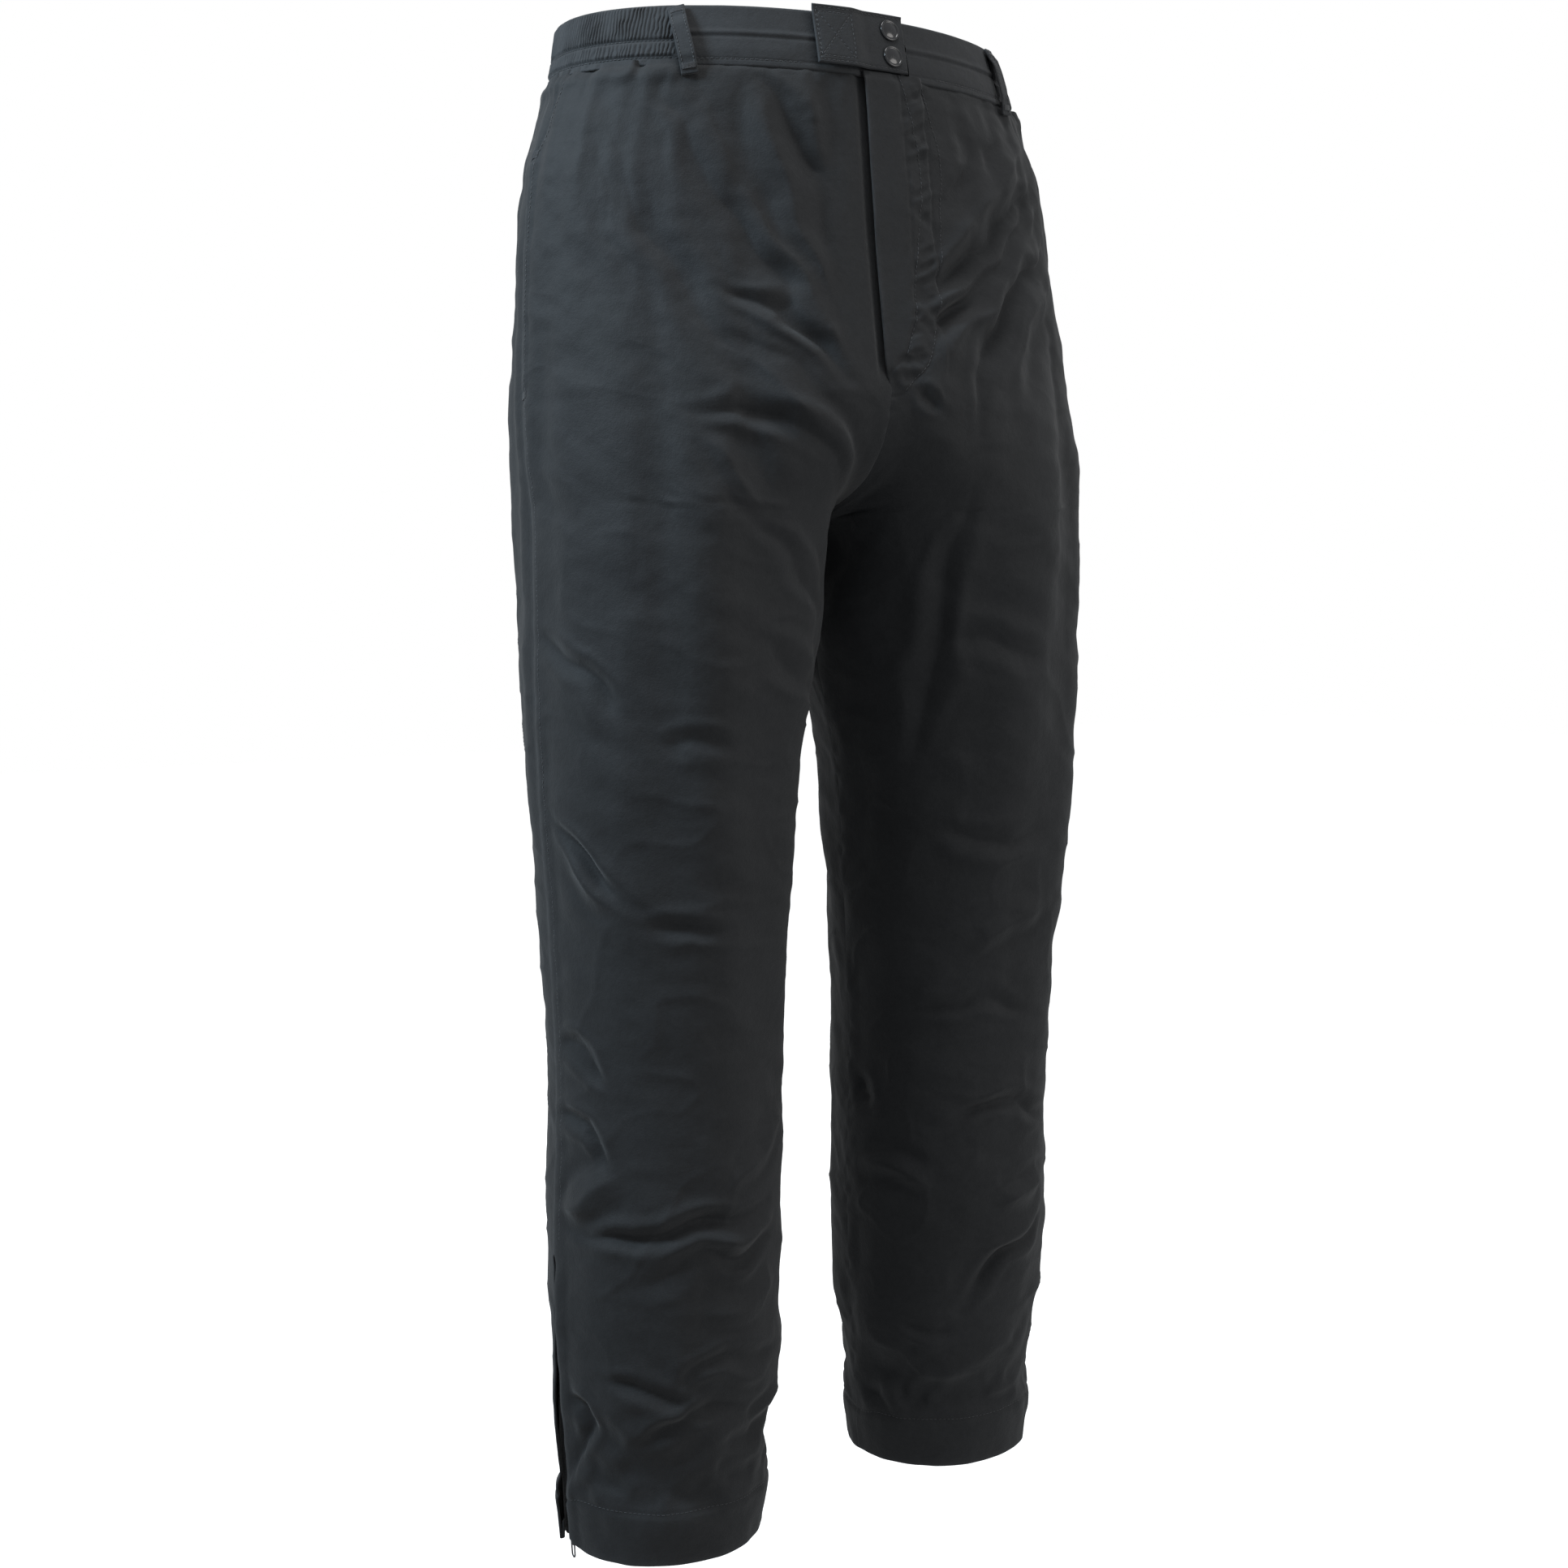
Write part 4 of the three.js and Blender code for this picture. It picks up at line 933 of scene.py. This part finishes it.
def flat_relief(u, z):
    """A ridge along the middle, a stitched line near the foot and a slight waviness."""
    down = -z
    wave = 0.5 * lumps(u, z * 2, 0.045, 121) + 0.25 * lumps(u, z * 1.5, 0.012, 122)
    ridge = 0.75 * bell(down - 0.0185, 0.0017) - 0.5 * bell(down - 0.0212, 0.0012)
    return MM * (wave + ridge - 0.4 * bell(down - 0.0365, 0.0008) + 0.3 * bell(down - 0.030, 0.004))


def band_piece(name, side, t, relief, facing, sink=0.0):
    """A length of band from its outer foot, over the fold at the top, and down inside."""
    outer_z = np.linspace(-0.0402, -0.0016, 58)
    course = [(-0.0414, 1.9), (-0.0413, 1.0), (-0.0409, 0.35)] + [(z, 0) for z in outer_z]
    course += [(-0.0008, 0.3), (-0.0003, 0.85), (0, 1.55), (-0.0003, 2.25), (-0.0008, 2.8)]
    course += [(z, BAND_FOLDED) for z in (-0.0016, *np.linspace(-0.006, -0.0405, 9))]
    z = np.array([z for z, _ in course])[:, None]
    depth = MM * np.array([d for _, d in course])[:, None]
    t, z, depth, sides, sink = np.broadcast_arrays(t, z, depth, side, sink)
    place, normal = form(sides, t, z)
    u = from_outseam(t, z)
    outside = np.clip(1 - depth / (2.2 * MM), 0, 1)
    points = place + normal * (relief(u * sides, z) * outside - depth - sink)[..., None]
    return sheet_piece(name, points[::-1], facing, band_nylon)


def t_at_x(x, z):
    """The place round the front at this distance across."""
    angle = -np.arccos(np.clip((np.abs(x) - ring(1, z)) / ring(3, z), -1, 1))
    return (angle / ring_reach(z) + 1) / 2


SIDE_COLUMNS = 660
for name, side in SIDES.items():
    t = np.linspace(LOOP_AT, BACK_LOOP_AT, SIDE_COLUMNS)[None]
    piece = band_piece(f"band_side_{name}", side, t, elastic_relief, facing=side)
    stands_for(piece, f"waistband_side_{name}", "band_nylon", (0.088, 0.285), "gathered",
               rests_on=[f"waist_elastic_{name}"])

UNDERLAP_END, FRONT_END, BAND_MIDDLE = 0.036, -0.0995, np.array(-0.02)
x = np.concatenate([np.linspace(UNDERLAP_END, 0, 19), np.linspace(-0.002, -0.10, 60)])[None]
t = np.where(x < FRONT_END, LOOP_AT, t_at_x(x, BAND_MIDDLE))
under = 3.9 * MM * smooth((x + 0.012) / 0.011)
piece = band_piece("band_front_right", np.where(x > 0, 1, -1), t, flat_relief, facing=-1, sink=under)
stands_for(piece, "waistband_front_right", "band_nylon", (0.090, 0.165), area=0.0145)
t = np.linspace(float(t_at_x(np.array(0.0327), BAND_MIDDLE)), LOOP_AT, 90)[None]
piece = band_piece("band_front_left", 1, t, flat_relief, facing=1)
stands_for(piece, "waistband_front_left", "band_nylon", (0.090, 0.110), area=0.0075)
back_t = np.concatenate([np.linspace(BACK_LOOP_AT, 1, 80), np.linspace(1, BACK_LOOP_AT, 80)[1:]])[None]
back_side = np.concatenate([np.full(80, -1), np.full(79, 1)])[None]
piece = band_piece("band_back", back_side, back_t, flat_relief, facing=-1)
stands_for(piece, "waistband_back", "band_nylon", (0.090, 0.240))

for name, side in SIDES.items():
    z = np.linspace(-0.0012, -0.0435, 30)[:, None]
    t = np.linspace(0.078, 0.999, 220)[None]
    place, normal = form(side, *np.broadcast_arrays(t, z))
    wrinkle = 0.35 * MM * lumps(from_outseam(t, z), z * 0.4, 0.006, 131)
    piece = sheet_piece(f"band_lining_{name}", place - normal * (4.4 * MM + wrinkle)[..., None], side, taffeta)
    stands_for(piece, f"waistband_facing_{name}", "lining_taffeta", (0.44, 0.045))


def band_row(side, first, last, steps, height, relief, lift, **stitches):
    """A row of stitching round the band at this height."""
    t, z = np.linspace(first, last, steps), np.full(steps, height)
    place, normal = form(side, t, z)
    proud = relief(from_outseam(t, height) * side, z) + lift
    return run_of_stitches(place + normal * proud[:, None], normal, **stitches)


for name, side in SIDES.items():
    front_start = 0.085 if side < 0 else 0.10
    runs = [band_row(side, *ends, 120, FLAT_STITCHING, flat_relief, 0.15 * MM)
            for ends in ((front_start, LOOP_AT), (BACK_LOOP_AT, 0.998))]
    runs += [band_row(side, LOOP_AT, BACK_LOOP_AT, 400, height, elastic_relief, 0.35 * MM,
                      pitch=2.9 * MM, length=2.2 * MM) for height in ELASTIC_STITCHING]
    threads(f"band_stitching_{name}", runs)

# ---- Belt loops ----
# Five narrow folded nylon strips with a row of stitching along each edge, bar-tacked above to the
# band and below to the trousers, so that a belt can pass behind them.

LOOP_WIDTH, LOOP_THICK, LOOP_TOP, LOOP_FOOT = 11.5 * MM, 1.35 * MM, -0.0020, -0.0480
LOOP_STEPS, LOOP_AROUND, LOOP_ROW, LOOP_TACK = 46, 20, 4.0 * MM, 4.6 * MM


def belt_loop(where, side, at, lean=0.0):
    z = np.linspace(LOOP_TOP, LOOP_FOOT, LOOP_STEPS)
    along = (z - LOOP_TOP) / (LOOP_FOOT - LOOP_TOP)
    middle, normal = form(side, at - lean * along, z)
    out = (0.4 + 4.7 * smooth((0.5 - np.abs(along - 0.5)) / 0.3)) * MM
    out = out + 0.9 * MM * smooth((-0.038 - z) / 0.004)
    doubled = smooth((np.abs(along - 0.5) - 0.36) / 0.02)
    thick = LOOP_THICK * (1 + 0.75 * doubled)
    middle = middle + normal * (out + thick / 2)[:, None]
    down = unit(np.gradient(middle, axis=0))
    across = unit(np.cross(down, normal))
    face = unit(np.cross(across, down))
    edges = []
    for w in np.arange(LOOP_AROUND) / LOOP_AROUND * 2 * np.pi:
        c, s = math.cos(w), math.sin(w)
        reach = math.copysign(abs(c) ** 0.35, c) * LOOP_WIDTH / 2
        pressed = 1 - 0.22 * math.exp(-((abs(reach) - LOOP_ROW) / 0.0007) ** 2)
        height = math.copysign(abs(s) ** 0.55, s) * thick / 2 * pressed
        edges.append(middle + across * reach + face * height[:, None])
    faces = tube_faces(LOOP_STEPS, LOOP_AROUND, capped=True)
    piece = mesh_piece(f"loop_{where}", np.stack(edges, 1), faces, band_nylon)
    stands_for(piece, f"belt_loop_{where}", "band_nylon", (0.0125, 0.060), "stretched")
    runs = []
    for offset in (-LOOP_ROW, LOOP_ROW):
        line = middle + across * offset + face * (thick / 2 - 0.05 * MM)[:, None]
        runs.append(run_of_stitches(line[2:-2], face[2:-2], 2.6 * MM, 2.0 * MM))
    for end in (3, LOOP_STEPS - 6):
        for k in range(7):
            spot = middle[end] + down[end] * (k - 3) * 0.5 * MM + face[end] * (thick[end] / 2 + 0.1 * MM)
            half = across[end] * LOOP_TACK
            runs.append(((spot - half)[None], (spot + half)[None], face[end][None]))
    threads(f"loop_{where}_stitching", runs)


for name, side in SIDES.items():
    belt_loop(f"front_{name}", side, LOOP_AT, 0.026 if side < 0 else 0.0)
    belt_loop(f"back_{name}", side, BACK_LOOP_AT)
belt_loop("centre_back", 1, 1.0)

# ---- Closing tab ----
# A stiff folded tab hinged on the left end of the band. It lies over the fly and is held by a hook
# patch and two snaps; a stitched box with crossed lines holds the patch on behind.

TAB_FREE, TAB_HINGE, TAB_TOP, TAB_FOOT = -0.039, 0.032, 0.0035, -0.0365
TAB_THICK, TAB_EDGE, TAB_ROW = 2.4 * MM, 1.3 * MM, 2.2 * MM
TAB_BOX = (-0.036, -0.0115, -0.0015, -0.0315)


def tab_back(x):
    return (-1.0 + 3.9 * smooth((0.002 - x) / 0.014)) * MM


def on_front(x, z, lift):
    x, z = np.broadcast_arrays(np.asarray(x, float), np.asarray(z, float))
    place, normal = form(np.where(x < 0, -1, 1), t_at_x(x, z), z)
    return place + normal * np.asarray(lift)[..., None], normal


def slab(name, x, z, back, thick, edge, relief, material, body):
    """A flat folded piece on the front: two faces that meet in rounded edges all round."""
    x, z = np.meshgrid(x, z)
    inside = np.minimum(np.minimum(x - x.min(), x.max() - x), np.minimum(z - z.min(), z.max() - z))
    bulge = np.sqrt(1 - (1 - np.clip(inside / edge, 0, 1)) ** 2)
    centre = back(x) + thick / 2
    front_face, _ = on_front(x, z, centre + bulge * thick / 2 + relief(x, z) * bulge)
    back_face, _ = on_front(x, z, centre - bulge * thick / 2)
    rows, columns = x.shape
    quads = grid_quads(rows, columns)
    behind = grid_quads(rows, columns, rows * columns)[:, ::-1]
    points = np.concatenate([front_face.reshape(-1, 3), back_face.reshape(-1, 3)])
    piece = mesh_piece(name, points, list(quads) + list(behind), material, body)
    weld = piece.modifiers.new("closed edge", "WELD")
    weld.merge_threshold = 0.02 * MM
    return piece


def graded(first, last, edge, count):
    """Places from first to last, closer together near both ends."""
    s = np.sin(np.linspace(-np.pi / 2, np.pi / 2, 9)) / 2 + 0.5
    step = math.copysign(edge, last - first)
    middle = np.linspace(first + step, last - step, count)[1:-1]
    return np.concatenate([first + step * s, middle, last - step + step * s])


def tab_relief(x, z):
    """Grooves under the rows of stitching: round the edge, round the box and along its crossed lines."""
    left, right, top, foot = TAB_BOX
    border = np.minimum(np.minimum(x - TAB_FREE, TAB_TOP - z), z - TAB_FOOT)
    relief = -0.3 * bell(border - TAB_ROW, 0.0006) + 0.15 * smooth(border / 0.006)
    s, r = (x - left) / (right - left), (z - foot) / (top - foot)
    boxed = (s > 0) & (s < 1) & (r > 0) & (r < 1)
    lines = np.minimum(np.abs(s - r), np.abs(s + r - 1)) * 0.02
    upright = np.minimum(np.abs(s), np.abs(1 - s)) * (right - left)
    level = np.minimum(np.abs(r), np.abs(1 - r)) * (top - foot)
    near = (s > -0.05) & (s < 1.05) & (r > -0.05) & (r < 1.05)
    groove = near * 0.28 * bell(np.minimum(upright, level), 0.0006)
    relief = relief - boxed * 0.28 * bell(lines, 0.0007) - groove
    return MM * (relief + 0.35 * lumps(x, z, 0.011, 141))


tab = slab("tab", graded(TAB_FREE, TAB_HINGE, TAB_EDGE, 120), graded(TAB_TOP, TAB_FOOT, TAB_EDGE, 70),
           tab_back, TAB_THICK, TAB_EDGE, tab_relief, band_nylon, "tab")
stands_for(tab, "waist_tab", "band_nylon", (0.075, 0.042))

tab_runs = []
left, right, top, foot = TAB_BOX
free, sewn, upper, lower = TAB_FREE + TAB_ROW, TAB_HINGE - 0.001, TAB_TOP - TAB_ROW, TAB_FOOT + TAB_ROW
for line in ([(sewn, upper), (free, upper), (free, lower), (sewn, lower)],
             [(left, top), (right, top), (right, foot), (left, foot), (left, top)],
             [(left, top), (right, foot)], [(left, foot), (right, top)]):
    line = np.array(line)
    where = np.linspace(0, len(line) - 1, 400)
    x, z = (np.interp(where, np.arange(len(line)), line[:, k]) for k in (0, 1))
    tab_runs.append(run_of_stitches(*on_front(x, z, tab_back(x) + TAB_THICK + tab_relief(x, z) + 0.1 * MM)))
threads("tab_stitching", tab_runs, "tab")

# The hook half is sewn behind the tab and the loop half on the band: woven tape with a dense pile.
PATCH_EDGE, PILE = 0.4 * MM, 0.00055 / 3.1
hook_nylon = one_texture("hook_nylon", {"Sheen Weight": 0.4},
                         ((0.016, 0.017, 0.019), (0.010, 0.011, 0.013), (0.050, 0.052, 0.058)),
                         "TexVoronoi", {"Scale": 1600.0}, (0.7, 0.2), (0.0004, 0.8), {"feature": "F1"})
for name, body, back, height in (("hook_patch", "tab", 1.75, 0.85), ("loop_patch", "trousers", 0.32, 0.95)):
    patch = slab(f"{name}_pile", graded(-0.036, -0.013, PATCH_EDGE, 46), graded(-0.003, -0.031, PATCH_EDGE, 56),
                 lambda x: back * MM + 0 * x, height * MM * 0.8, PATCH_EDGE,
                 lambda x, z: 0.16 * MM * np.sin(x / PILE) * np.sin(z / PILE), hook_nylon, body)
    stands_for(patch, name, "hook_nylon", (0.024, 0.029))

# ---- Snaps ----
# Two ring snaps close the tab. Each cap is pressed brass in black enamel, with a raised rim.

SNAP_ACROSS, SNAP_HEIGHTS, SNAP_SEAT = 0.0195, {"upper": -0.0085, "lower": -0.0265}, 1.75 * MM
snap_fixed = {"Coat Weight": 0.7, "Coat Roughness": 0.06, "Specular IOR Level": 0.6}
snap_metal, snap_shader, snap_shade = finish("snap_enamel", snap_fixed, (0.012, 0.012, 0.014))
spots = snap_shade.node("TexNoise", None, {"Vector": yarn_coords(snap_shade), "Scale": 700.0, "Detail": 3.0})
chipped = spots.ramp((0.68, 0.0), (0.74, 0.35))
feed(snap_shader, Base_Color=chipped.mix((0.012, 0.012, 0.014, 1), (0.12, 0.12, 0.13, 1)),
     Roughness=0.16 + spots * 0.16, Metallic=chipped * 0.9, Normal=spots.bump(0.00008, 0.3))


def front_frame(x, z):
    """Matrix whose Z axis points out of the front here, square to the sloping band."""
    spots_at, _ = on_front(np.array([x - 0.004, x + 0.004, x, x]), np.array([z, z, z - 0.004, z + 0.004]),
                           np.zeros(4))
    across, up = unit(spots_at[1] - spots_at[0]), unit(spots_at[3] - spots_at[2])
    out = unit(np.cross(across, up))
    up = np.cross(out, across)
    centre, _ = on_front(np.array(x), np.array(z), np.array(0.0))
    return np.column_stack([across, up, out]), centre


def turned_metal(name, profile, turn, centre, segments, material, body):
    """A pressed metal piece from (radius, height) pairs, first on the rim and last at the centre."""
    w = np.arange(segments) / segments * 2 * np.pi
    points = [(r * math.cos(a), r * math.sin(a), h) for r, h in profile[:-1] for a in w]
    points.append((0, 0, profile[-1][1]))
    rings = len(profile) - 1
    inner = (rings - 1) * segments
    faces = tube_faces(rings, segments)
    faces += [(inner + k, inner + (k + 1) % segments, rings * segments) for k in range(segments)]
    faces.append(tuple(range(segments))[::-1])
    return mesh_piece(name, np.array(points) * MM @ turn.T + centre, faces, material, body)


CAP = [(7.3, 0.0), (7.5, 0.25), (7.5, 0.75), (7.4, 1.15), (7.15, 1.45), (6.8, 1.6), (6.4, 1.58), (6.05, 1.4),
       (5.8, 1.18), (5.5, 1.1), (5.1, 1.16), (4.4, 1.38), (3.4, 1.62), (2.2, 1.8), (1.0, 1.88), (0.3, 1.9),
       (0, 1.9)]
for place, height in SNAP_HEIGHTS.items():
    turn, centre = front_frame(SNAP_ACROSS, height)
    cap = turned_metal(f"snap_head_{place}", CAP, turn, centre + turn[:, 2] * SNAP_SEAT, 72, snap_metal, "tab")
    stands_for(cap, f"snap_cap_{place}", "snap_metal")

# ---- Fly ----
# Behind the front edge lie a nylon facing and an underlap, with a slim zip between them, and a taffeta
# shield behind it all. They are sewn in with the placket's hooked rows of stitching.

fly_z = np.linspace(-0.0416, -0.265, 90)[:, None]
for name, first, last, depth, material, slot in (
        ("fly_facing", 0.019, 0.038, 4.8, shell_nylon, "shell_nylon"),
        ("fly_underlap", -0.020, 0.005, 5.2, shell_nylon, "shell_nylon"),
        ("fly_shield", -0.022, 0.030, 13.6, taffeta, "lining_taffeta")):
    x = np.linspace(first, last, 30)[None]
    ripple = 0.4 * MM * lumps(x + 0 * fly_z, fly_z, 0.016, 151)
    points, _ = on_front(x, fly_z, -depth * MM + ripple)
    strip = sheet_piece(f"{name}_cloth", points, 1, material)
    stands_for(strip, name, slot, (round(last - first + 0.001, 3), 0.226))

# ---- Zips ----
# Slim moulded zips. Each hem has one in the slot of its outseam, on woven tape, with a painted metal
# slider and a long looped pull, and a nylon guard behind it.

zip_teeth = one_texture("zip_teeth", {"Specular IOR Level": 0.5},
                        ((0.012, 0.012, 0.013), (0.009, 0.009, 0.010), (0.030, 0.030, 0.033)),
                        "TexNoise", {"Scale": 1200.0, "Detail": 2.0}, (0.25, 0.25), (0.0001, 0.3))
zip_tape = one_texture("zip_tape", {"Sheen Weight": 0.3},
                       ((0.014, 0.015, 0.017), (0.009, 0.010, 0.011), (0.030, 0.032, 0.036)),
                       "TexWave", {"Scale": 520.0, "Distortion": 1.5}, (0.6, 0.2), (0.0002, 0.7),
                       {"bands_direction": "DIAGONAL"})
zip_metal, metal_shader, metal_shade = finish("zip_metal", {"Specular IOR Level": 0.6}, (0.03, 0.03, 0.033))
rubbed = metal_shade.node("TexNoise", None, {"Vector": yarn_coords(metal_shade), "Scale": 420.0, "Detail": 4.0})
bare = rubbed.ramp((0.46, 0.0), (0.66, 1.0))
feed(metal_shader, Base_Color=bare.mix((0.022, 0.022, 0.025, 1), (0.21, 0.215, 0.225, 1)),
     Roughness=0.28 + rubbed * 0.2, Metallic=0.4 + bare * 0.6, Normal=rubbed.bump(0.0001, 0.3))

TOOTH_PITCH, ZIP_MIDDLE, HEM_ZIP_FOOT, HEM_ZIP_HEAD = 1.5 * MM, -4.0 * MM, -1.046, -0.848
TOOTH = [(0.75, -1.1), (0.75, 1.1), (-0.1, 1.25), (-0.55, 0.9), (-0.75, 0.45), (-0.75, -0.45), (-0.55, -0.9),
         (-0.1, -1.25)]
TOOTH_RISE = ((-0.42, 0.8), (-0.3, 1.0), (0.3, 1.0), (0.42, 0.8))
PLATE_WIDTHS = [(0.0, 2.3), (0.25, 2.9), (0.9, 3.25), (3.0, 3.6), (6.0, 4.15), (7.6, 4.1), (8.5, 3.6),
                (8.9, 3.0), (9.0, 2.4)]
PLATE_ENDS, PULL_LENGTH, METAL_AROUND, BRIDGE_ARCH = (0.0, 9.0), 20.4, 12, 2.6
TAPE_ENDS, TAPE_INNER, TAPE_WIDTH, GUARD_DEPTH = (-0.8455, -1.0455), 2.2, 10.6, 8.4 * MM


def hem_frame(side):
    """Matrix with X across, Y outward and Z up the hem zip, its place, and the zip's length."""
    foot, _ = form(side, 0.5, HEM_ZIP_FOOT)
    head, _ = form(side, 0.5, HEM_ZIP_HEAD)
    up = unit(head - foot)
    across = unit(np.cross(np.array((side, 0.0, 0.0)), up))
    return np.column_stack([across, np.cross(up, across), up]), foot, float(np.linalg.norm(head - foot))


def loft(profile, stations, closed=False):
    """Points in mm and faces swept through (point, x axis, y axis, x size, y size) with a rounded profile."""
    w = np.arange(METAL_AROUND) / METAL_AROUND * 2 * np.pi
    c, s = np.cos(w), np.sin(w)
    ring_x, ring_y = np.sign(c) * np.abs(c) ** profile, np.sign(s) * np.abs(s) ** profile
    points = [np.asarray(p) + np.outer(ring_x, np.asarray(ax) * sx) + np.outer(ring_y, np.asarray(ay) * sy)
              for p, ax, ay, sx, sy in stations]
    return np.concatenate(points), tube_faces(len(stations), METAL_AROUND, closed, not closed)


def metal_piece(name, lofts, node, body, turn, centre):
    """One painted metal piece from several lofts."""
    points, faces, start = [], [], 0
    for part_points, part_faces in lofts:
        points.append(part_points * MM @ turn.T + centre)
        faces += [[v + start for v in face] for face in part_faces]
        start += len(part_points)
    stands_for(mesh_piece(name, np.concatenate(points), faces, zip_metal, body), node, "zip_metal")


def slider_piece(name, node, body, turn, centre, arch):
    """Two tapered plates held apart by a post, with an arched bridge on the front one."""
    lofts = []
    for low, high in ((1.62, 2.75), (-2.75, -1.62)):
        mid, half_thick = (low + high) / 2, (high - low) / 2
        plate = [((0, mid, at), (1, 0, 0), (0, 1, 0), w, half_thick * (0.6 if at in PLATE_ENDS else 1))
                 for at, w in PLATE_WIDTHS]
        lofts.append(loft(0.28, plate))
    lofts.append(loft(0.6, [((0, y, 6.3), (1, 0, 0), (0, 0, 1), 0.3, 2.2) for y in np.linspace(-1.9, 1.9, 4)]))
    bridge = []
    for a in np.linspace(0, np.pi, 17):
        lift = 2.4 + (arch + 0.75) * abs(math.sin(a)) ** 0.45
        across = (0, math.sin(a), -math.cos(a) * 0.7)
        bridge.append(((0, lift, 4.5 - 3.4 * math.cos(a)), (1, 0, 0), across, 0.8, 0.42))
    lofts.append(loft(0.7, bridge))
    metal_piece(name, lofts, node, body, turn, centre)


def pull_piece(name, node, body, turn, centre):
    """A long loop of flat wire with a crossbar under the bridge and a tongue hanging from it."""
    half_width, low = 2.55, 2.4 - PULL_LENGTH
    outline = [(half_width * math.cos(a), 0.1 + 0.5 * math.sin(a)) for a in np.linspace(0, np.pi, 9)]
    down = [(-half_width * share, z) for share, z in ((1, -3.0), (1.02, -8), (0.98, -13))]
    foot = [(half_width * 0.92 * math.cos(a), low + 2.1 * math.sin(a))
            for a in np.linspace(np.pi, 2 * np.pi, 11)]
    outline += down + [(-half_width * 0.92, low)] + foot[1:] + [(-x, z) for x, z in reversed(down)]
    path = np.array([(x, 0, z) for x, z in outline])
    tangents = unit(np.roll(path, -1, axis=0) - np.roll(path, 1, axis=0))
    wire = [(p, np.cross(t, (0, 1, 0)), (0, 1, 0), 0.55, 0.5) for p, t in zip(path, tangents)]
    bar = [((x, 0, -5.4), (0, 0, 1), (0, 1, 0), 0.9, 0.45) for x in np.linspace(-half_width, half_width, 5)]
    tongue = [((0, 0, z), (1, 0, 0), (0, 1, 0), 1.0 - 0.02 * abs(z + 9), 0.36)
              for z in np.linspace(-5.4, -11.6, 7)]
    lofts = [loft(0.7, wire, closed=True), loft(0.6, bar), loft(0.6, tongue)]
    metal_piece(name, lofts, node, body, turn, centre)


def tooth_row(name, node, sign, turn, centre, length, first):
    """A row of moulded teeth with rounded noses on a cord."""
    around, points, faces = len(TOOTH), [], []
    for k in range(int((length - first) / TOOTH_PITCH)):
        z = first + (k + (0.5 if sign > 0 else 0.0)) * TOOTH_PITCH
        faces += [[v + len(points) for v in face] for face in tube_faces(len(TOOTH_RISE), around, capped=True)]
        for rise, shrink in TOOTH_RISE:
            points += [(sign * (1.35 + x * shrink) * MM, y * shrink * MM, z + rise * MM) for x, y in TOOTH]
    piece = mesh_piece(name, np.array(points) @ turn.T + centre, faces, zip_teeth)
    stands_for(piece, node, "zip_teeth")


for name, side in SIDES.items():
    turn, foot_at, length = hem_frame(side)
    seat = foot_at + turn[:, 1] * ZIP_MIDDLE
    z = np.linspace(*TAPE_ENDS, 90)[:, None]
    for part, way in (("front", -1), ("back", 1)):
        node = f"hem_zip_teeth_{part}_{name}"
        tooth_row(f"hem_teeth_{part}_{name}", node, -way * side, turn, seat, length, 0.5 * MM)
        share = np.linspace(0, 1, 12)[None]
        u = way * (TAPE_INNER + TAPE_WIDTH * share) * MM
        flare = 5.2 * MM * smooth((SLOT_TOP - 0.03 - z) / 0.12) * smooth(share * 1.6) if way > 0 else 0 * z
        place, normal = form(side, at_outseam(u, z), z + 0 * u)
        wave = 0.25 * MM * lumps(u + 0 * z, z, 0.009, 161) * share
        points = place + normal * (ZIP_MIDDLE + 0.25 * MM + flare + wave)[..., None]
        tape = sheet_piece(f"hem_tape_{part}_{name}", points, side * way, zip_tape)
        stands_for(tape, f"hem_zip_tape_{part}_{name}", "zip_tape", (0.0115, 0.201))
    u = np.linspace(-0.016, 0.016, 24)[None]
    place, normal = form(side, at_outseam(u, z), z + 0 * u)
    sunk = GUARD_DEPTH + 0.5 * MM * lumps(u + 0 * z, z, 0.014, 171)
    guard = sheet_piece(f"hem_guard_{name}", place - normal * sunk[..., None], side, shell_nylon)
    stands_for(guard, f"hem_zip_guard_{name}", "shell_nylon", (0.033, 0.201))
    slider_at = seat + turn[:, 2] * 2 * MM
    slider = f"hem_slider_{name}"
    slider_piece(slider, f"hem_zip_slider_{name}", slider, turn, slider_at, BRIDGE_ARCH)
    pull_at = seat + turn[:, 1] * 4.1 * MM + turn[:, 2] * 6.5 * MM
    pull_piece(f"hem_pull_{name}", f"hem_zip_pull_{name}", f"hem_pull_{name}", turn, pull_at)

# ---- Elastic and the plain hidden parts ----
# Woven elastic runs inside the band at each side. It, the fly's zip and the snaps' sockets and studs
# keep their own plain shapes and are given their finishes here.

elastic_web = one_texture("elastic_web", {"Sheen Weight": 0.2},
                          ((0.020, 0.021, 0.023), (0.012, 0.013, 0.015), (0.045, 0.047, 0.052)),
                          "TexWave", {"Scale": 300.0}, (0.6, 0.15), (0.0004, 0.6), {"bands_direction": "Z"})
KEPT = {"waist_elastic": elastic_web, "fly_zip_tape": zip_tape, "fly_zip_teeth": zip_teeth,
        "fly_zip_slider": zip_metal, "fly_zip_pull": zip_metal,
        "snap_socket": snap_metal, "snap_stud": snap_metal}
for node_name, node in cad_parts.items():
    for start, material in KEPT.items():
        if node_name.startswith(start):
            node.data.materials.clear()
            node.data.materials.append(material)
